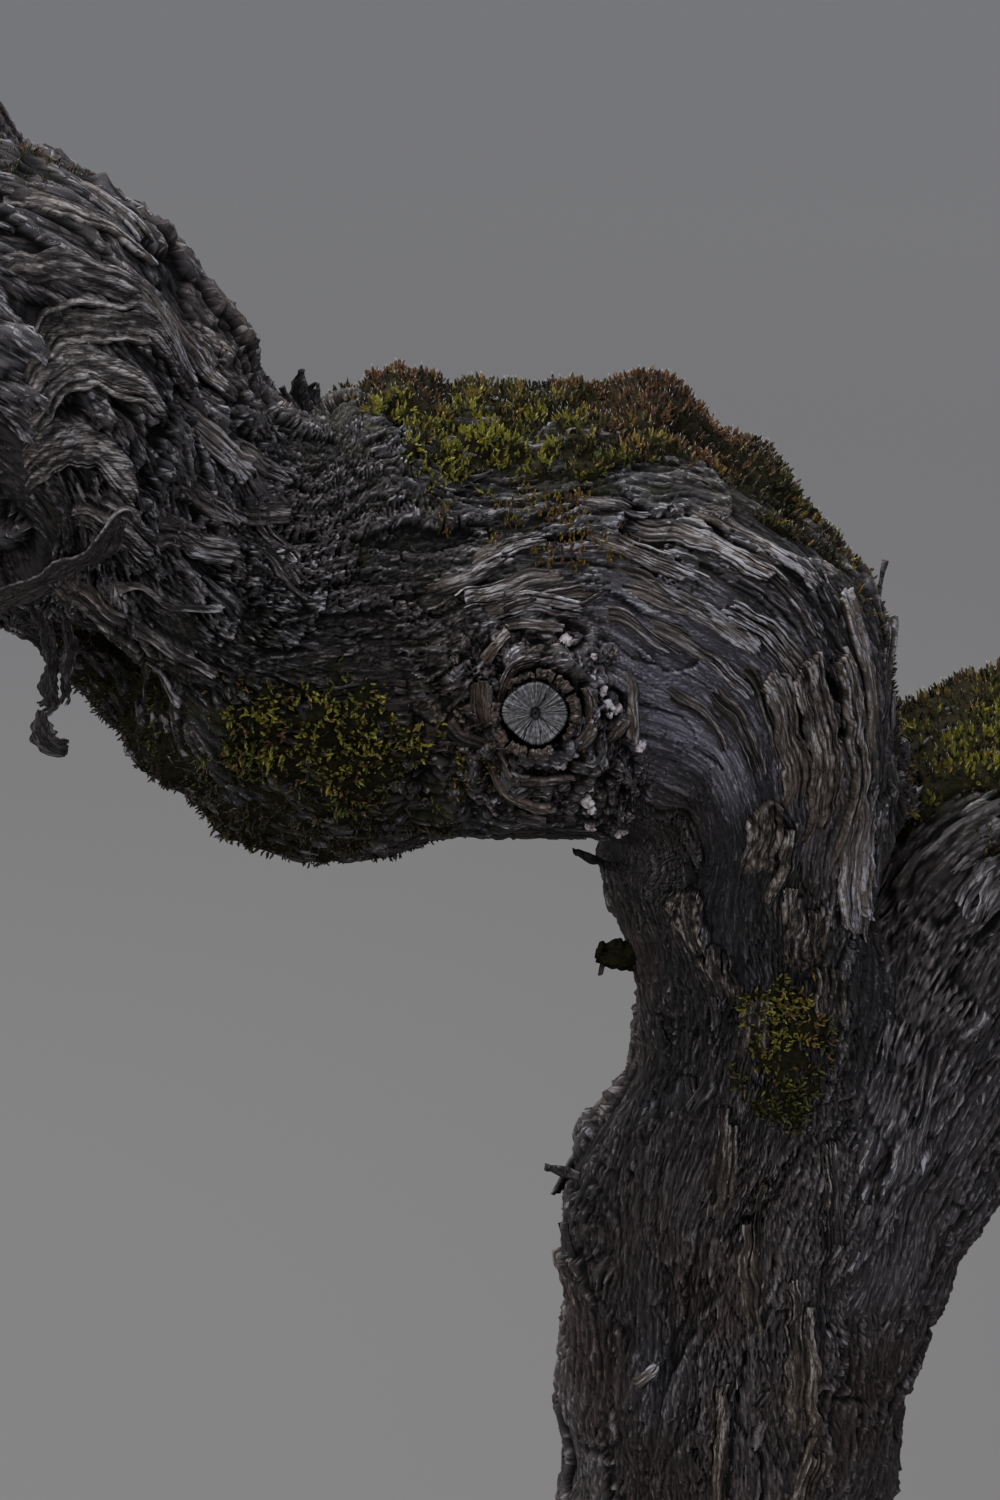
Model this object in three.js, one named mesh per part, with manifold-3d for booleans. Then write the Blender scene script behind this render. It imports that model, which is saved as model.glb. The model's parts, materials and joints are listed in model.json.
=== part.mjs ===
// An old bush vine in winter: one leaning, fluted trunk that forks into two thick gnarled arms.
// The left arm climbs out of the fork, turns over a broad elbow, dips and rises again into a knotty head.
// The right arm leaves the trunk lower down and behind, and ends in a smaller head.
// Each head carries short spurs, each arm carries cushions of moss, and a pruned stub faces the front.
// Millimetres, +Z up, +X to the right, the front faces -Y. The origin is in the flat cut at ground level.

import * as THREE from "three";
import { mergeVertices } from "three/addons/utils/BufferGeometryUtils.js";
import Module from "manifold-3d";

const wasm = await Module();
wasm.setup();

// Driving dimensions
const GAP = 0.3; // clearance between neighbouring solids
const AROUND = 22; // corners of a limb's section
const STEP = 13; // length of limb between two sections
const FLARE_HEIGHT = 34; // how fast the root flare dies away above the ground
const FLARE_RIDGES = 5;
const FLARE_DEPTH = 0.16; // share of the radius that the root ridges stand out at the ground
const FLUTE_DEPTH = 0.045; // share of the radius that the flutes of a limb stand out
const FLUTE_TWIST = 0.011; // radians that the flutes turn in each millimetre of limb
const WRINKLE_DEPTH = 0.022; // the finer, counter-turning flutes
const WRINKLE_TWIST = 0.024;

// A limb's stations. at: centre. half: half its height across the growing direction, half its depth.
// grows: the direction it grows in, as an angle in the front view, 90 straight up and 180 to the left.
const MAIN_STEM = [
  { at: [0, 0, 0], half: [53, 51], grows: 90 },
  { at: [-3, 1, 26], half: [45, 44], grows: 91 },
  { at: [-4, 4, 74], half: [38, 37], grows: 88 },
  { at: [1, 4, 140], half: [35, 34], grows: 85 },
  { at: [8, 1, 215], half: [36, 34], grows: 88 },
  { at: [7, 0, 271], half: [35.5, 34], grows: 91 },
  { at: [7, 0, 303], half: [33, 33], grows: 88 },
  { at: [11, 0, 337], half: [26, 31], grows: 86 },
  { at: [11, -1, 365], half: [25.5, 31], grows: 90 },
  { at: [7, -3, 389], half: [29, 33], grows: 94 },
  { at: [7, -5, 410], half: [34, 36], grows: 120 },
  { at: [-2, -7, 432], half: [42, 39], grows: 150 },
  { at: [-24, -9, 442], half: [44, 40], grows: 180 },
  { at: [-43, -12, 443], half: [43.5, 40], grows: 184 },
  { at: [-61, -15, 443], half: [44, 40], grows: 183 },
  { at: [-80, -20, 444], half: [46.5, 40], grows: 175 },
  { at: [-100, -27, 452.5], half: [42, 40], grows: 155 },
  { at: [-114, -34, 468], half: [38, 40.5], grows: 138 },
  { at: [-126, -41, 485.5], half: [38, 40.5], grows: 135 },
  { at: [-136, -47, 499], half: [40, 40], grows: 150 },
  { at: [-149, -52, 507], half: [41, 38], grows: 170 },
  { at: [-166, -57, 512], half: [38, 35], grows: 172 },
  { at: [-180, -61, 517], half: [29, 28], grows: 165 },
  { at: [-189, -64, 520], half: [17, 17], grows: 163 },
  { at: [-193, -65, 521], half: [7, 7], grows: 163 },
];
const RIGHT_STEM = [
  { at: [17, 6, 196], half: [18, 20], grows: 88 },
  { at: [20, 8, 229], half: [26, 28], grows: 84 },
  { at: [24, 10, 265], half: [31, 31], grows: 78 },
  { at: [34, 13, 296], half: [34, 33], grows: 70 },
  { at: [47, 18, 328], half: [38, 34], grows: 59 },
  { at: [63, 25, 360], half: [43, 36], grows: 48 },
  { at: [86, 34, 372], half: [41.5, 37], grows: 27 },
  { at: [117, 46, 378], half: [38, 36], grows: 15 },
  { at: [148, 57, 385], half: [36, 35], grows: 26 },
  { at: [172, 65, 399], half: [31, 31], grows: 40 },
  { at: [188, 70, 416], half: [22, 23], grows: 50 },
  { at: [194, 72, 424], half: [9, 9], grows: 52 },
];

// Knots and hollows: how far the surface stands out or sinks, and over what width.
const KNOTS = {
  prunedBurl: { at: [-38, -52, 436], height: 8, width: 21 },
  trunkHip: { at: [-27, -6, 304], height: 3.5, width: 15 },
  bellyLump: { at: [-88, -24, 398], height: 5, width: 20 },
  foldUnderHead: { at: [-150, -84, 479], height: -11, width: 15 },
  headLobe: { at: [-160, -70, 462], height: 6, width: 18 },
  trunkWaist: { at: [-22, -20, 345], height: -2, width: 14 },
  rightShoulder: { at: [49, 0, 402], height: 11, width: 17 },
  rightKnot: { at: [128, 12, 390], height: 7, width: 16 },
  backKnot: { at: [-60, 30, 452], height: 9, width: 20 },
  trunkBackKnot: { at: [20, 36, 150], height: 7, width: 20 },
};

// Where each stem is divided into nodes, as lengths along its own line.
const FORK_HEIGHT = 339;

const toRadians = (degrees) => (degrees * Math.PI) / 180;

/** Cubic through a list of numbers at the given lengths, with a slope at each from its neighbours. */
function smoothThrough(lengths, values) {
  const last = values.length - 1;
  const slope = values.map((_, i) => {
    const before = Math.max(i - 1, 0);
    const after = Math.min(i + 1, last);
    return (values[after] - values[before]) / (lengths[after] - lengths[before]);
  });
  return (s) => {
    let i = 0;
    while (i < last - 1 && s > lengths[i + 1]) i += 1;
    const span = lengths[i + 1] - lengths[i];
    const t = (s - lengths[i]) / span;
    const rise = values[i + 1] - values[i];
    const bend = t * (1 - t) * ((1 - t) * (slope[i] * span - rise) - t * (slope[i + 1] * span - rise));
    return values[i] + t * rise + bend;
  };
}

/** One closed solid through rings of corners, with a flat cap at each end. */
function loft(rings) {
  const corners = rings[0].length;
  const points = rings.flat();
  const faces = [];
  for (let ring = 0; ring < rings.length - 1; ring += 1) {
    for (let k = 0; k < corners; k += 1) {
      const a = ring * corners + k;
      const b = ring * corners + ((k + 1) % corners);
      faces.push([a, b, b + corners], [a, b + corners, a + corners]);
    }
  }
  const middle = (ring) =>
    ring.reduce((sum, p) => sum.add(p), new THREE.Vector3()).divideScalar(corners);
  const first = points.push(middle(rings[0])) - 1;
  const end = points.push(middle(rings.at(-1))) - 1;
  const lastRing = (rings.length - 1) * corners;
  for (let k = 0; k < corners; k += 1) {
    const next = (k + 1) % corners;
    faces.push([first, next, k], [end, lastRing + k, lastRing + next]);
  }
  return solidFrom(
    points.flatMap((p) => [p.x, p.y, p.z]),
    faces.flat(),
  );
}

/** A solid from flat lists of coordinates and corners, turned the right way out. */
function solidFrom(coordinates, corners) {
  const build = (triVerts) =>
    new wasm.Manifold(
      new wasm.Mesh({ numProp: 3, vertProperties: new Float32Array(coordinates), triVerts }),
    );
  const solid = build(new Uint32Array(corners));
  return solid.volume() > 0 ? solid : build(new Uint32Array(corners).reverse());
}

/** A solid from one of three.js's closed geometries. */
function solidFromGeometry(geometry) {
  const bare = geometry.clone();
  bare.deleteAttribute("normal");
  bare.deleteAttribute("uv");
  const merged = mergeVertices(bare, 1e-3);
  return solidFrom([...merged.attributes.position.array], [...merged.index.array]);
}

/** A stem: a line of stations, and the uneven surface round it. */
class Stem {
  constructor(stations, knots, onGround = false) {
    this.knots = knots;
    this.onGround = onGround;
    this.lengths = [0];
    stations.slice(1).forEach((station, i) => {
      const from = new THREE.Vector3(...stations[i].at);
      const to = new THREE.Vector3(...station.at);
      this.lengths.push(this.lengths[i] + from.distanceTo(to));
    });
    const channel = (read) => smoothThrough(this.lengths, stations.map(read));
    this.x = channel((station) => station.at[0]);
    this.y = channel((station) => station.at[1]);
    this.z = channel((station) => station.at[2]);
    this.across = channel((station) => station.half[0]);
    this.deep = channel((station) => station.half[1]);
    this.grows = channel((station) => toRadians(station.grows));
    this.length = this.lengths.at(-1);
    this.cuts = [];
  }

  /** Centre of the section at s, the way the limb grows there, its outer side and its front side. */
  frame(s) {
    const centre = new THREE.Vector3(this.x(s), this.y(s), this.z(s));
    const angle = this.grows(s);
    const reach = 1; // short length over which the depth's slope is read
    const lo = Math.max(s - reach, 0);
    const hi = Math.min(s + reach, this.length);
    const toFront = THREE.MathUtils.clamp(-(this.y(hi) - this.y(lo)) / (hi - lo), -0.6, 0.6);
    const level = Math.sqrt(1 - toFront * toFront);
    const inView = new THREE.Vector3(Math.cos(angle), 0, Math.sin(angle));
    const forward = new THREE.Vector3(0, -1, 0);
    const along = inView.clone().multiplyScalar(level).addScaledVector(forward, toFront);
    const outer = new THREE.Vector3(Math.sin(angle), 0, -Math.cos(angle));
    const front = forward.clone().multiplyScalar(level).addScaledVector(inView, -toFront);
    return { centre, along, outer, front };
  }

  /** How far the flutes, and the root ridges near the ground, push the surface out at s and angle. */
  fluting(s, angle, height) {
    const flutes = FLUTE_DEPTH * Math.cos(3 * angle + FLUTE_TWIST * s + 0.6);
    const wrinkles = WRINKLE_DEPTH * Math.cos(5 * angle - WRINKLE_TWIST * s);
    const ridges = FLARE_DEPTH * Math.exp(-height / FLARE_HEIGHT) * Math.cos(FLARE_RIDGES * angle + 0.4);
    return 1 + flutes + wrinkles + ridges;
  }

  /** A point of the surface. Angle 0 is the outer side and a quarter turn is the front. */
  point(s, angle, proud = 0, frame = this.frame(s)) {
    const swell = this.fluting(s, angle, frame.centre.z);
    const spoke = new THREE.Vector3()
      .addScaledVector(frame.outer, this.across(s) * swell * Math.cos(angle))
      .addScaledVector(frame.front, this.deep(s) * swell * Math.sin(angle));
    const bare = frame.centre.clone().add(spoke);
    const knot = this.knots.reduce((sum, { at, height, width }) => {
      const away = bare.distanceTo(new THREE.Vector3(...at)) / width;
      return sum + height * Math.exp(-away * away);
    }, 0);
    return bare.addScaledVector(spoke.normalize(), knot + proud);
  }

  ring(s, proud = 0, shift = 0) {
    const frame = this.frame(s);
    return Array.from({ length: AROUND }, (_, k) => {
      const angle = (k / AROUND) * 2 * Math.PI;
      const corner = this.point(s, angle, proud, frame).addScaledVector(frame.along, shift);
      if (this.onGround && s === 0) corner.z = 0; // the flat cut at ground level
      return corner;
    });
  }

  /** The lengths of the sections from one cut to another, at about STEP, and at every cut between. */
  sections(from, to) {
    const ends = [0, ...this.cuts, this.length].filter((cut) => cut >= from && cut <= to);
    const spans = ends.slice(1).map((end, i) => {
      const count = Math.max(2, Math.round((end - ends[i]) / STEP));
      return Array.from({ length: count }, (_, k) => ends[i] + ((end - ends[i]) * k) / count);
    });
    return [...spans.flat(), to];
  }

  /** The limb from one cut to another. A proud limb is a little fatter all round. */
  piece(from, to, proud = 0) {
    const lengths = this.sections(from, to);
    const rings = lengths.map((s, i) => {
      const afterCut = i === 0 && from > 0 && proud === 0 ? GAP : 0;
      const pastTip = i === lengths.length - 1 ? proud : 0;
      return this.ring(s, proud, afterCut + pastTip);
    });
    return loft(rings);
  }

  /** A cushion lying on the limb: from and to along it, centre and spread round it, and its thickness. */
  cushion({ from, to, middle, spread, thick, uneven }) {
    const rows = Math.max(6, Math.round((to - from) / 9));
    const columns = 9;
    const under = -3; // the underside starts inside the limb and is then cut away by it
    const edge = 0.9; // thickness left at the cushion's rim
    const grid = (heightAt) =>
      Array.from({ length: rows + 1 }, (_, i) => {
        const along = i / rows;
        const s = from + (to - from) * along;
        const half = toRadians(spread) * (0.55 + 0.45 * Math.sin(Math.PI * along) ** 0.6);
        const drift = toRadians(uneven) * Math.sin(7.3 * along + from);
        return Array.from({ length: columns + 1 }, (_, j) => {
          const across = (2 * j) / columns - 1;
          const angle = toRadians(middle) + drift + half * across;
          return this.point(s, angle, heightAt(along, across, s));
        });
      });
    const dome = (along, across, s) => {
      const crown = Math.sqrt(Math.max(0, 1 - across * across)) * Math.sin(Math.PI * along) ** 0.4;
      return edge + (thick - edge) * crown * (0.82 + 0.18 * Math.sin(s * 0.31) * Math.cos(4 * across));
    };
    const top = grid(dome);
    const bottom = grid(() => under);
    const rings = top.map((row, i) => [...row, ...bottom[i].slice().reverse()]);
    return loft(rings);
  }
}

const main = new Stem(MAIN_STEM, Object.values(KNOTS), true);
const right = new Stem(RIGHT_STEM, [KNOTS.rightShoulder, KNOTS.rightKnot]);

/** The length along a stem where its centre is nearest a point. */
function lengthAt(stem, point) {
  const target = new THREE.Vector3(...point);
  let best = 0;
  for (let s = 0; s <= stem.length; s += 0.5) {
    const gain = stem.frame(s).centre.distanceTo(target) < stem.frame(best).centre.distanceTo(target);
    if (gain) best = s;
  }
  return best;
}

// Division of the stems
const fork = lengthAt(main, [11, 0, FORK_HEIGHT]);
const elbowStart = lengthAt(main, [7, -3, 390]);
const elbowEnd = lengthAt(main, [-26, -9, 442]);
const dip = lengthAt(main, [-82, -21, 445]);
const headStart = lengthAt(main, [-135, -47, 500]);
const rightFork = lengthAt(right, [41, 15.5, 312]);
const rightBend = lengthAt(right, [86, 34, 372]);
const rightHeadStart = lengthAt(right, [148, 57, 385]);

main.cuts = [fork, elbowStart, elbowEnd, dip, headStart];
right.cuts = [rightFork, rightBend, rightHeadStart];

const fatMain = main.piece(0, main.length, GAP);
const fatRight = right.piece(0, right.length, GAP);
const mainAboveFork = main.piece(fork, main.length, GAP);
const trunk = main.piece(0, fork).add(right.piece(0, rightFork).subtract(mainAboveFork));

/** Keeps the largest closed body of a solid, where a cut leaves slivers beside it. */
function largestBody(solid) {
  const bodies = solid.decompose();
  return bodies.reduce((best, body) => (body.volume() > best.volume() ? body : best));
}

/** A short spur: an old collar of bark, then a year-old cane with two nodes, cut on the slant. */
function spur({ at, towards, collar, collarLength, cane, caneLength, turn }) {
  const axis = new THREE.Vector3(...towards).normalize();
  const side = new THREE.Vector3(0, 1, 0).cross(axis).normalize();
  const back = axis.clone().cross(side);
  const base = new THREE.Vector3(...at);
  const corners = 10;
  const buried = 14; // length of the spur that is inside the head
  const slant = 0.9; // rise of the cut across the cane, per millimetre
  const knuckle = 1.45; // how much wider a node is than the cane
  const total = collarLength + caneLength;
  const profile = [
    [-buried, collar],
    [0, collar * 1.06],
    [collarLength * 0.45, collar * 0.98],
    [collarLength * 0.85, collar * 0.9],
    [collarLength, cane * 1.25],
    [collarLength + caneLength * 0.28, cane],
    [collarLength + caneLength * 0.38, cane * knuckle],
    [collarLength + caneLength * 0.48, cane * 0.96],
    [collarLength + caneLength * 0.74, cane * 0.94],
    [collarLength + caneLength * 0.82, cane * knuckle * 0.95],
    [collarLength + caneLength * 0.9, cane * 0.92],
    [total, cane * 0.9],
  ];
  const rings = profile.map(([height, radius], i) =>
    Array.from({ length: corners }, (_, k) => {
      const angle = (k / corners) * 2 * Math.PI;
      const tilt = i === profile.length - 1 ? slant * radius * Math.cos(angle) : 0;
      const bow = turn * Math.max(0, height) ** 2;
      return base
        .clone()
        .addScaledVector(axis, height + tilt)
        .addScaledVector(side, radius * Math.cos(angle) + bow)
        .addScaledVector(back, radius * Math.sin(angle));
    }),
  );
  return loft(rings);
}

/** The old pruning cut that faces the front: a short stub with a flat face. */
function prunedStub() {
  const radius = 7.7;
  const proud = 3.5;
  const buried = 12;
  const stub = new THREE.CylinderGeometry(radius, radius + 0.8, proud + buried, 18);
  stub.translate(0, (proud - buried) / 2, 0);
  const faces = new THREE.Vector3(-0.05, -0.96, 0.27).normalize();
  stub.applyQuaternion(new THREE.Quaternion().setFromUnitVectors(new THREE.Vector3(0, 1, 0), faces));
  stub.translate(-39, -59.5, 439.5);
  return solidFromGeometry(stub);
}

const SPURS = {
  left_spur_front: {
    at: [-141.5, -49, 541], towards: [-0.33, -0.08, 0.94], turn: -0.004,
    collar: 8.5, collarLength: 20, cane: 4.3, caneLength: 34,
  },
  left_spur_tip: {
    at: [-186, -63, 523], towards: [-0.82, -0.25, 0.52], turn: -0.006,
    collar: 7.5, collarLength: 16, cane: 4, caneLength: 36,
  },
  left_spur_back: {
    at: [-158, -30, 540], towards: [-0.15, 0.5, 0.85], turn: 0.005,
    collar: 8, collarLength: 22, cane: 4.2, caneLength: 32,
  },
  right_spur_top: {
    at: [140, 50, 421], towards: [0.1, -0.2, 0.97], turn: 0.004,
    collar: 8, collarLength: 18, cane: 4.2, caneLength: 36,
  },
  right_spur_tip: {
    at: [190, 70, 421], towards: [0.62, 0.18, 0.76], turn: 0.005,
    collar: 7.5, collarLength: 18, cane: 4, caneLength: 38,
  },
  right_spur_back: {
    at: [165, 92, 408], towards: [0.25, 0.62, 0.74], turn: -0.004,
    collar: 7, collarLength: 16, cane: 3.9, caneLength: 30,
  },
};

const CUSHIONS = {
  moss_crest: {
    stem: main, from: elbowEnd - 26, to: dip + 10, middle: -6, spread: 46, thick: 9, uneven: 5,
  },
  moss_shoulder: {
    stem: main, from: elbowStart + 12, to: elbowEnd - 30, middle: -14, spread: 34, thick: 6, uneven: 4,
  },
  moss_flank: {
    stem: main, from: dip - 24, to: dip + 28, middle: 101, spread: 24, thick: 5, uneven: 4,
  },
  moss_belly: {
    stem: main, from: dip - 22, to: dip + 52, middle: 163, spread: 34, thick: 6, uneven: 5,
  },
  moss_trunk: {
    stem: main, from: fork - 14, to: fork + 14, middle: 82, spread: 17, thick: 3.5, uneven: 5,
  },
  moss_right_arm: {
    stem: right, from: rightBend - 20, to: rightHeadStart - 4, middle: 168, spread: 52, thick: 8, uneven: 5,
  },
};

const FINISHES = {
  bark: new THREE.MeshStandardMaterial({ color: 0x4a423d, roughness: 0.92, metalness: 0 }),
  cutWood: new THREE.MeshStandardMaterial({ color: 0x6b6864, roughness: 0.88, metalness: 0 }),
  cane: new THREE.MeshStandardMaterial({ color: 0x6f4a33, roughness: 0.7, metalness: 0 }),
  moss: new THREE.MeshStandardMaterial({ color: 0x5c6420, roughness: 0.95, metalness: 0 }),
};

/** A named mesh from a solid. */
function node(name, solid, finish) {
  const { numProp, vertProperties, triVerts } = solid.getMesh();
  const geometry = new THREE.BufferGeometry();
  const position = new THREE.InterleavedBuffer(vertProperties, numProp);
  geometry.setAttribute("position", new THREE.InterleavedBufferAttribute(position, 3, 0));
  geometry.setIndex(new THREE.BufferAttribute(triVerts, 1));
  const mesh = new THREE.Mesh(geometry.toNonIndexed(), finish);
  mesh.name = name;
  return mesh;
}

const vine = new THREE.Group();

const limbs = {
  trunk,
  left_arm_rise: main.piece(fork, elbowStart),
  left_arm_elbow: main.piece(elbowStart, elbowEnd),
  left_arm_reach: main.piece(elbowEnd, dip),
  left_arm_climb: main.piece(dip, headStart),
  left_arm_head: main.piece(headStart, main.length),
  right_arm_rise: right.piece(rightFork, rightBend).subtract(fatMain),
  right_arm_reach: right.piece(rightBend, rightHeadStart).subtract(fatMain),
  right_arm_head: right.piece(rightHeadStart, right.length),
};
for (const [name, solid] of Object.entries(limbs)) {
  vine.add(node(name, largestBody(solid), FINISHES.bark));
}

vine.add(node("pruned_stub", largestBody(prunedStub().subtract(fatMain)), FINISHES.cutWood));
for (const [name, sizes] of Object.entries(SPURS)) {
  const solid = spur(sizes).subtract(fatMain).subtract(fatRight);
  vine.add(node(name, largestBody(solid), FINISHES.cane));
}
for (const [name, { stem, ...sizes }] of Object.entries(CUSHIONS)) {
  const solid = stem.cushion(sizes).subtract(fatMain).subtract(fatRight);
  vine.add(node(name, largestBody(solid), FINISHES.moss));
}

export default vine;
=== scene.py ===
"""An old bush vine in winter: shaggy bark, a pruning cut, short spurs and cushions of moss."""

import json
import logging
import math
from dataclasses import dataclass
from enum import Enum

import bmesh
import bpy
import numpy as np
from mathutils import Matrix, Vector
from mathutils.bvhtree import BVHTree

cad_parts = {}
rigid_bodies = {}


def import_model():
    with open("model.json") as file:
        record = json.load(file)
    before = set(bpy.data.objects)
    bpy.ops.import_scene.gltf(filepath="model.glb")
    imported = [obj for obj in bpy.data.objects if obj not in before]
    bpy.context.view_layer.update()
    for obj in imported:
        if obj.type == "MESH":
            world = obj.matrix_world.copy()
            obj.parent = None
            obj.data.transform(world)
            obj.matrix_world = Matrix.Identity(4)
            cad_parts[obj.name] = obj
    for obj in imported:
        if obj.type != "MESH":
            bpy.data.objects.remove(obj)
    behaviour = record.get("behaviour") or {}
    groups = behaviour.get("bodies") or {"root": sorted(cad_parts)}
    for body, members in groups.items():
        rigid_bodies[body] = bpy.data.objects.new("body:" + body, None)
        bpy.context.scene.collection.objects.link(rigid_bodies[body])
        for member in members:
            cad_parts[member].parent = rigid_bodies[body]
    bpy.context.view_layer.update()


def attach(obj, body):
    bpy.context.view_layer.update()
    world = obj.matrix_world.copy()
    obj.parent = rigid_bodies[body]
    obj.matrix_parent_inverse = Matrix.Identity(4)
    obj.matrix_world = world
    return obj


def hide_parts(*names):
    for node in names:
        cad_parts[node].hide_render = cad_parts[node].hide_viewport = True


LOG = logging.getLogger("vine")
MM = 0.001
TURN = 2 * math.pi
Colour = tuple[float, float, float, float]
Point = tuple[float, float, float]
Grid = np.ndarray
Random = np.random.Generator
Piece = bpy.types.Object
Material = bpy.types.Material
Node = bpy.types.Node
Tree = bpy.types.NodeTree
Socket = bpy.types.NodeSocket


def tint(red: float, green: float, blue: float) -> Colour:
    """An opaque colour, linear."""
    return (red, green, blue, 1.0)


def unit(vectors: Grid) -> Grid:
    """Vectors of length one along the last axis."""
    return vectors / np.maximum(np.linalg.norm(vectors, axis=-1, keepdims=True), 1e-9)


def smoothstep(low: float, high: float, value: Grid) -> Grid:
    """A soft step from 0 at low to 1 at high."""
    t = np.clip((value - low) / (high - low), 0, 1)
    return t * t * (3 - 2 * t)


def turned(angle: Grid, middle: float) -> Grid:
    """How far each angle, in radians, is from a middle one in degrees, in degrees."""
    return (np.degrees(angle) - middle + 180) % 360 - 180


def blurred(grid: Grid, rows: float, columns: float) -> Grid:
    """A grid softened along its rows and round its columns, which wrap.

    Args:
        grid: values on the unrolled surface.
        rows: softening along the first axis, in rows.
        columns: softening round the second axis, in columns.

    Returns:
        A grid of the same size.
    """
    result = grid
    for axis, sigma, mode in ((0, rows, "edge"), (1, columns, "wrap")):
        if sigma <= 0:
            continue
        reach = max(1, int(math.ceil(2.5 * sigma)))
        weights = np.exp(-0.5 * (np.arange(-reach, reach + 1) / sigma) ** 2)
        weights /= weights.sum()
        pad = [(0, 0)] * result.ndim
        pad[axis] = (reach, reach)
        wide = np.pad(result, pad, mode=mode)
        size = result.shape[axis]
        result = sum(
            weight * np.take(wide, range(k, k + size), axis=axis)
            for k, weight in enumerate(weights)
        )
    return result


class Waves:
    """Smooth random waves on an unrolled stem, which close round it."""

    def __init__(self, seed: int, length: float, turns: int, count: int = 14) -> None:
        """Chooses the waves.

        Args:
            seed: fixes the choice.
            length: shortest wave along the stem, in millimetres.
            turns: most waves round the stem.
            count: number of waves added up.
        """
        random = np.random.default_rng(seed)
        self.along = random.uniform(0.15, 1, count) * TURN / length
        self.round = random.integers(-turns, turns + 1, count)
        self.phase = random.uniform(0, TURN, count)
        self.share = random.uniform(0.5, 1, count) / math.sqrt(count / 2)

    def __call__(self, s: Grid, angle: Grid) -> Grid:
        """The waves' sum at lengths and angles, mostly between -1 and 1."""
        total = np.zeros(np.broadcast(s, angle).shape)
        for along, turns, phase, share in zip(self.along, self.round, self.phase, self.share):
            total += share * np.sin(along * s + turns * angle + phase)
        return total


@dataclass(frozen=True)
class Station:
    """One section of a stem: its centre, half sizes across and deep, and the way it grows."""

    at: Point
    half: tuple[float, float]
    grows: float


@dataclass(frozen=True)
class Knot:
    """A place where the surface stands out or sinks, in millimetres."""

    at: Point
    height: float
    width: float


KNOTS = {
    "pruned_burl": Knot((-38, -52, 436), 8, 21),
    "trunk_hip": Knot((-27, -6, 304), 3.5, 15),
    "belly_lump": Knot((-88, -24, 398), 5, 20),
    "fold_under_head": Knot((-150, -84, 479), -11, 15),
    "head_lobe": Knot((-160, -70, 462), 6, 18),
    "trunk_waist": Knot((-22, -20, 345), -2, 14),
    "right_shoulder": Knot((49, 0, 402), 9, 18),
    "right_knot": Knot((128, 12, 390), 7, 16),
    "back_knot": Knot((-60, 30, 452), 9, 20),
    "trunk_back_knot": Knot((20, 36, 150), 7, 20),
    "under_flap": Knot((-124, -62, 436), -11, 14),
    "under_head": Knot((-125, -60, 443), -9.5, 13),
    "elbow_shoulder": Knot((20, -5, 467), -5.5, 19),
    "elbow_back": Knot((33, -1, 442), -1.0, 13),
    "arm_foot": Knot((-87, -27, 497), -3.5, 10),
    "belly_hollow": Knot((-108, -48, 418), -3.5, 12),
    "belly_end": Knot((-58, -43, 406), -5, 14),
    "belly_middle": Knot((-81, -42, 403), -3.5, 11),
    "arm_top": Knot((-101, -43, 517), -3.5, 11),
    "flap_end": Knot((-118, -64, 437), -9, 9),
}
MAIN_STATIONS = (
    Station((0, 0, 0), (53, 51), 90),
    Station((-3, 1, 26), (45, 44), 91),
    Station((-4, 4, 74), (38, 37), 88),
    Station((1, 4, 140), (35, 34), 85),
    Station((8, 1, 215), (36, 34), 88),
    Station((7, 0, 271), (35.5, 34), 91),
    Station((7, 0, 303), (33, 33), 88),
    Station((11, 0, 337), (26, 31), 86),
    Station((11, -1, 365), (25.5, 31), 90),
    Station((7, -3, 389), (29, 33), 94),
    Station((7, -5, 410), (34, 36), 120),
    Station((-2, -7, 432), (42, 39), 150),
    Station((-24, -9, 442), (44, 40), 180),
    Station((-43, -12, 443), (43.5, 40), 184),
    Station((-61, -15, 443), (44, 40), 183),
    Station((-80, -20, 444), (46.5, 40), 175),
    Station((-100, -27, 452.5), (41, 40), 155),
    Station((-114, -34, 468), (36, 40.5), 138),
    Station((-126, -41, 486.5), (36.5, 40.5), 135),
    Station((-136, -47, 501.5), (40, 40), 150),
    Station((-149, -52, 509.5), (42, 38), 170),
    Station((-166, -57, 514), (39.5, 35), 172),
    Station((-180, -61, 517), (29, 28), 165),
    Station((-189, -64, 520), (17, 17), 163),
    Station((-193, -65, 521), (7, 7), 163),
)
RIGHT_STATIONS = (
    Station((17, 6, 196), (18, 20), 88),
    Station((20, 8, 229), (26, 28), 84),
    Station((24, 10, 265), (31, 31), 78),
    Station((34, 13, 296), (34, 33), 70),
    Station((47, 18, 328), (38, 34), 59),
    Station((63, 25, 360), (43, 36), 48),
    Station((86, 34, 372), (41.5, 37), 27),
    Station((117, 46, 378), (38, 36), 15),
    Station((148, 57, 385), (36, 35), 26),
    Station((172, 65, 399), (31, 31), 40),
    Station((188, 70, 416), (22, 23), 50),
    Station((194, 72, 424), (9, 9), 52),
)


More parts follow.
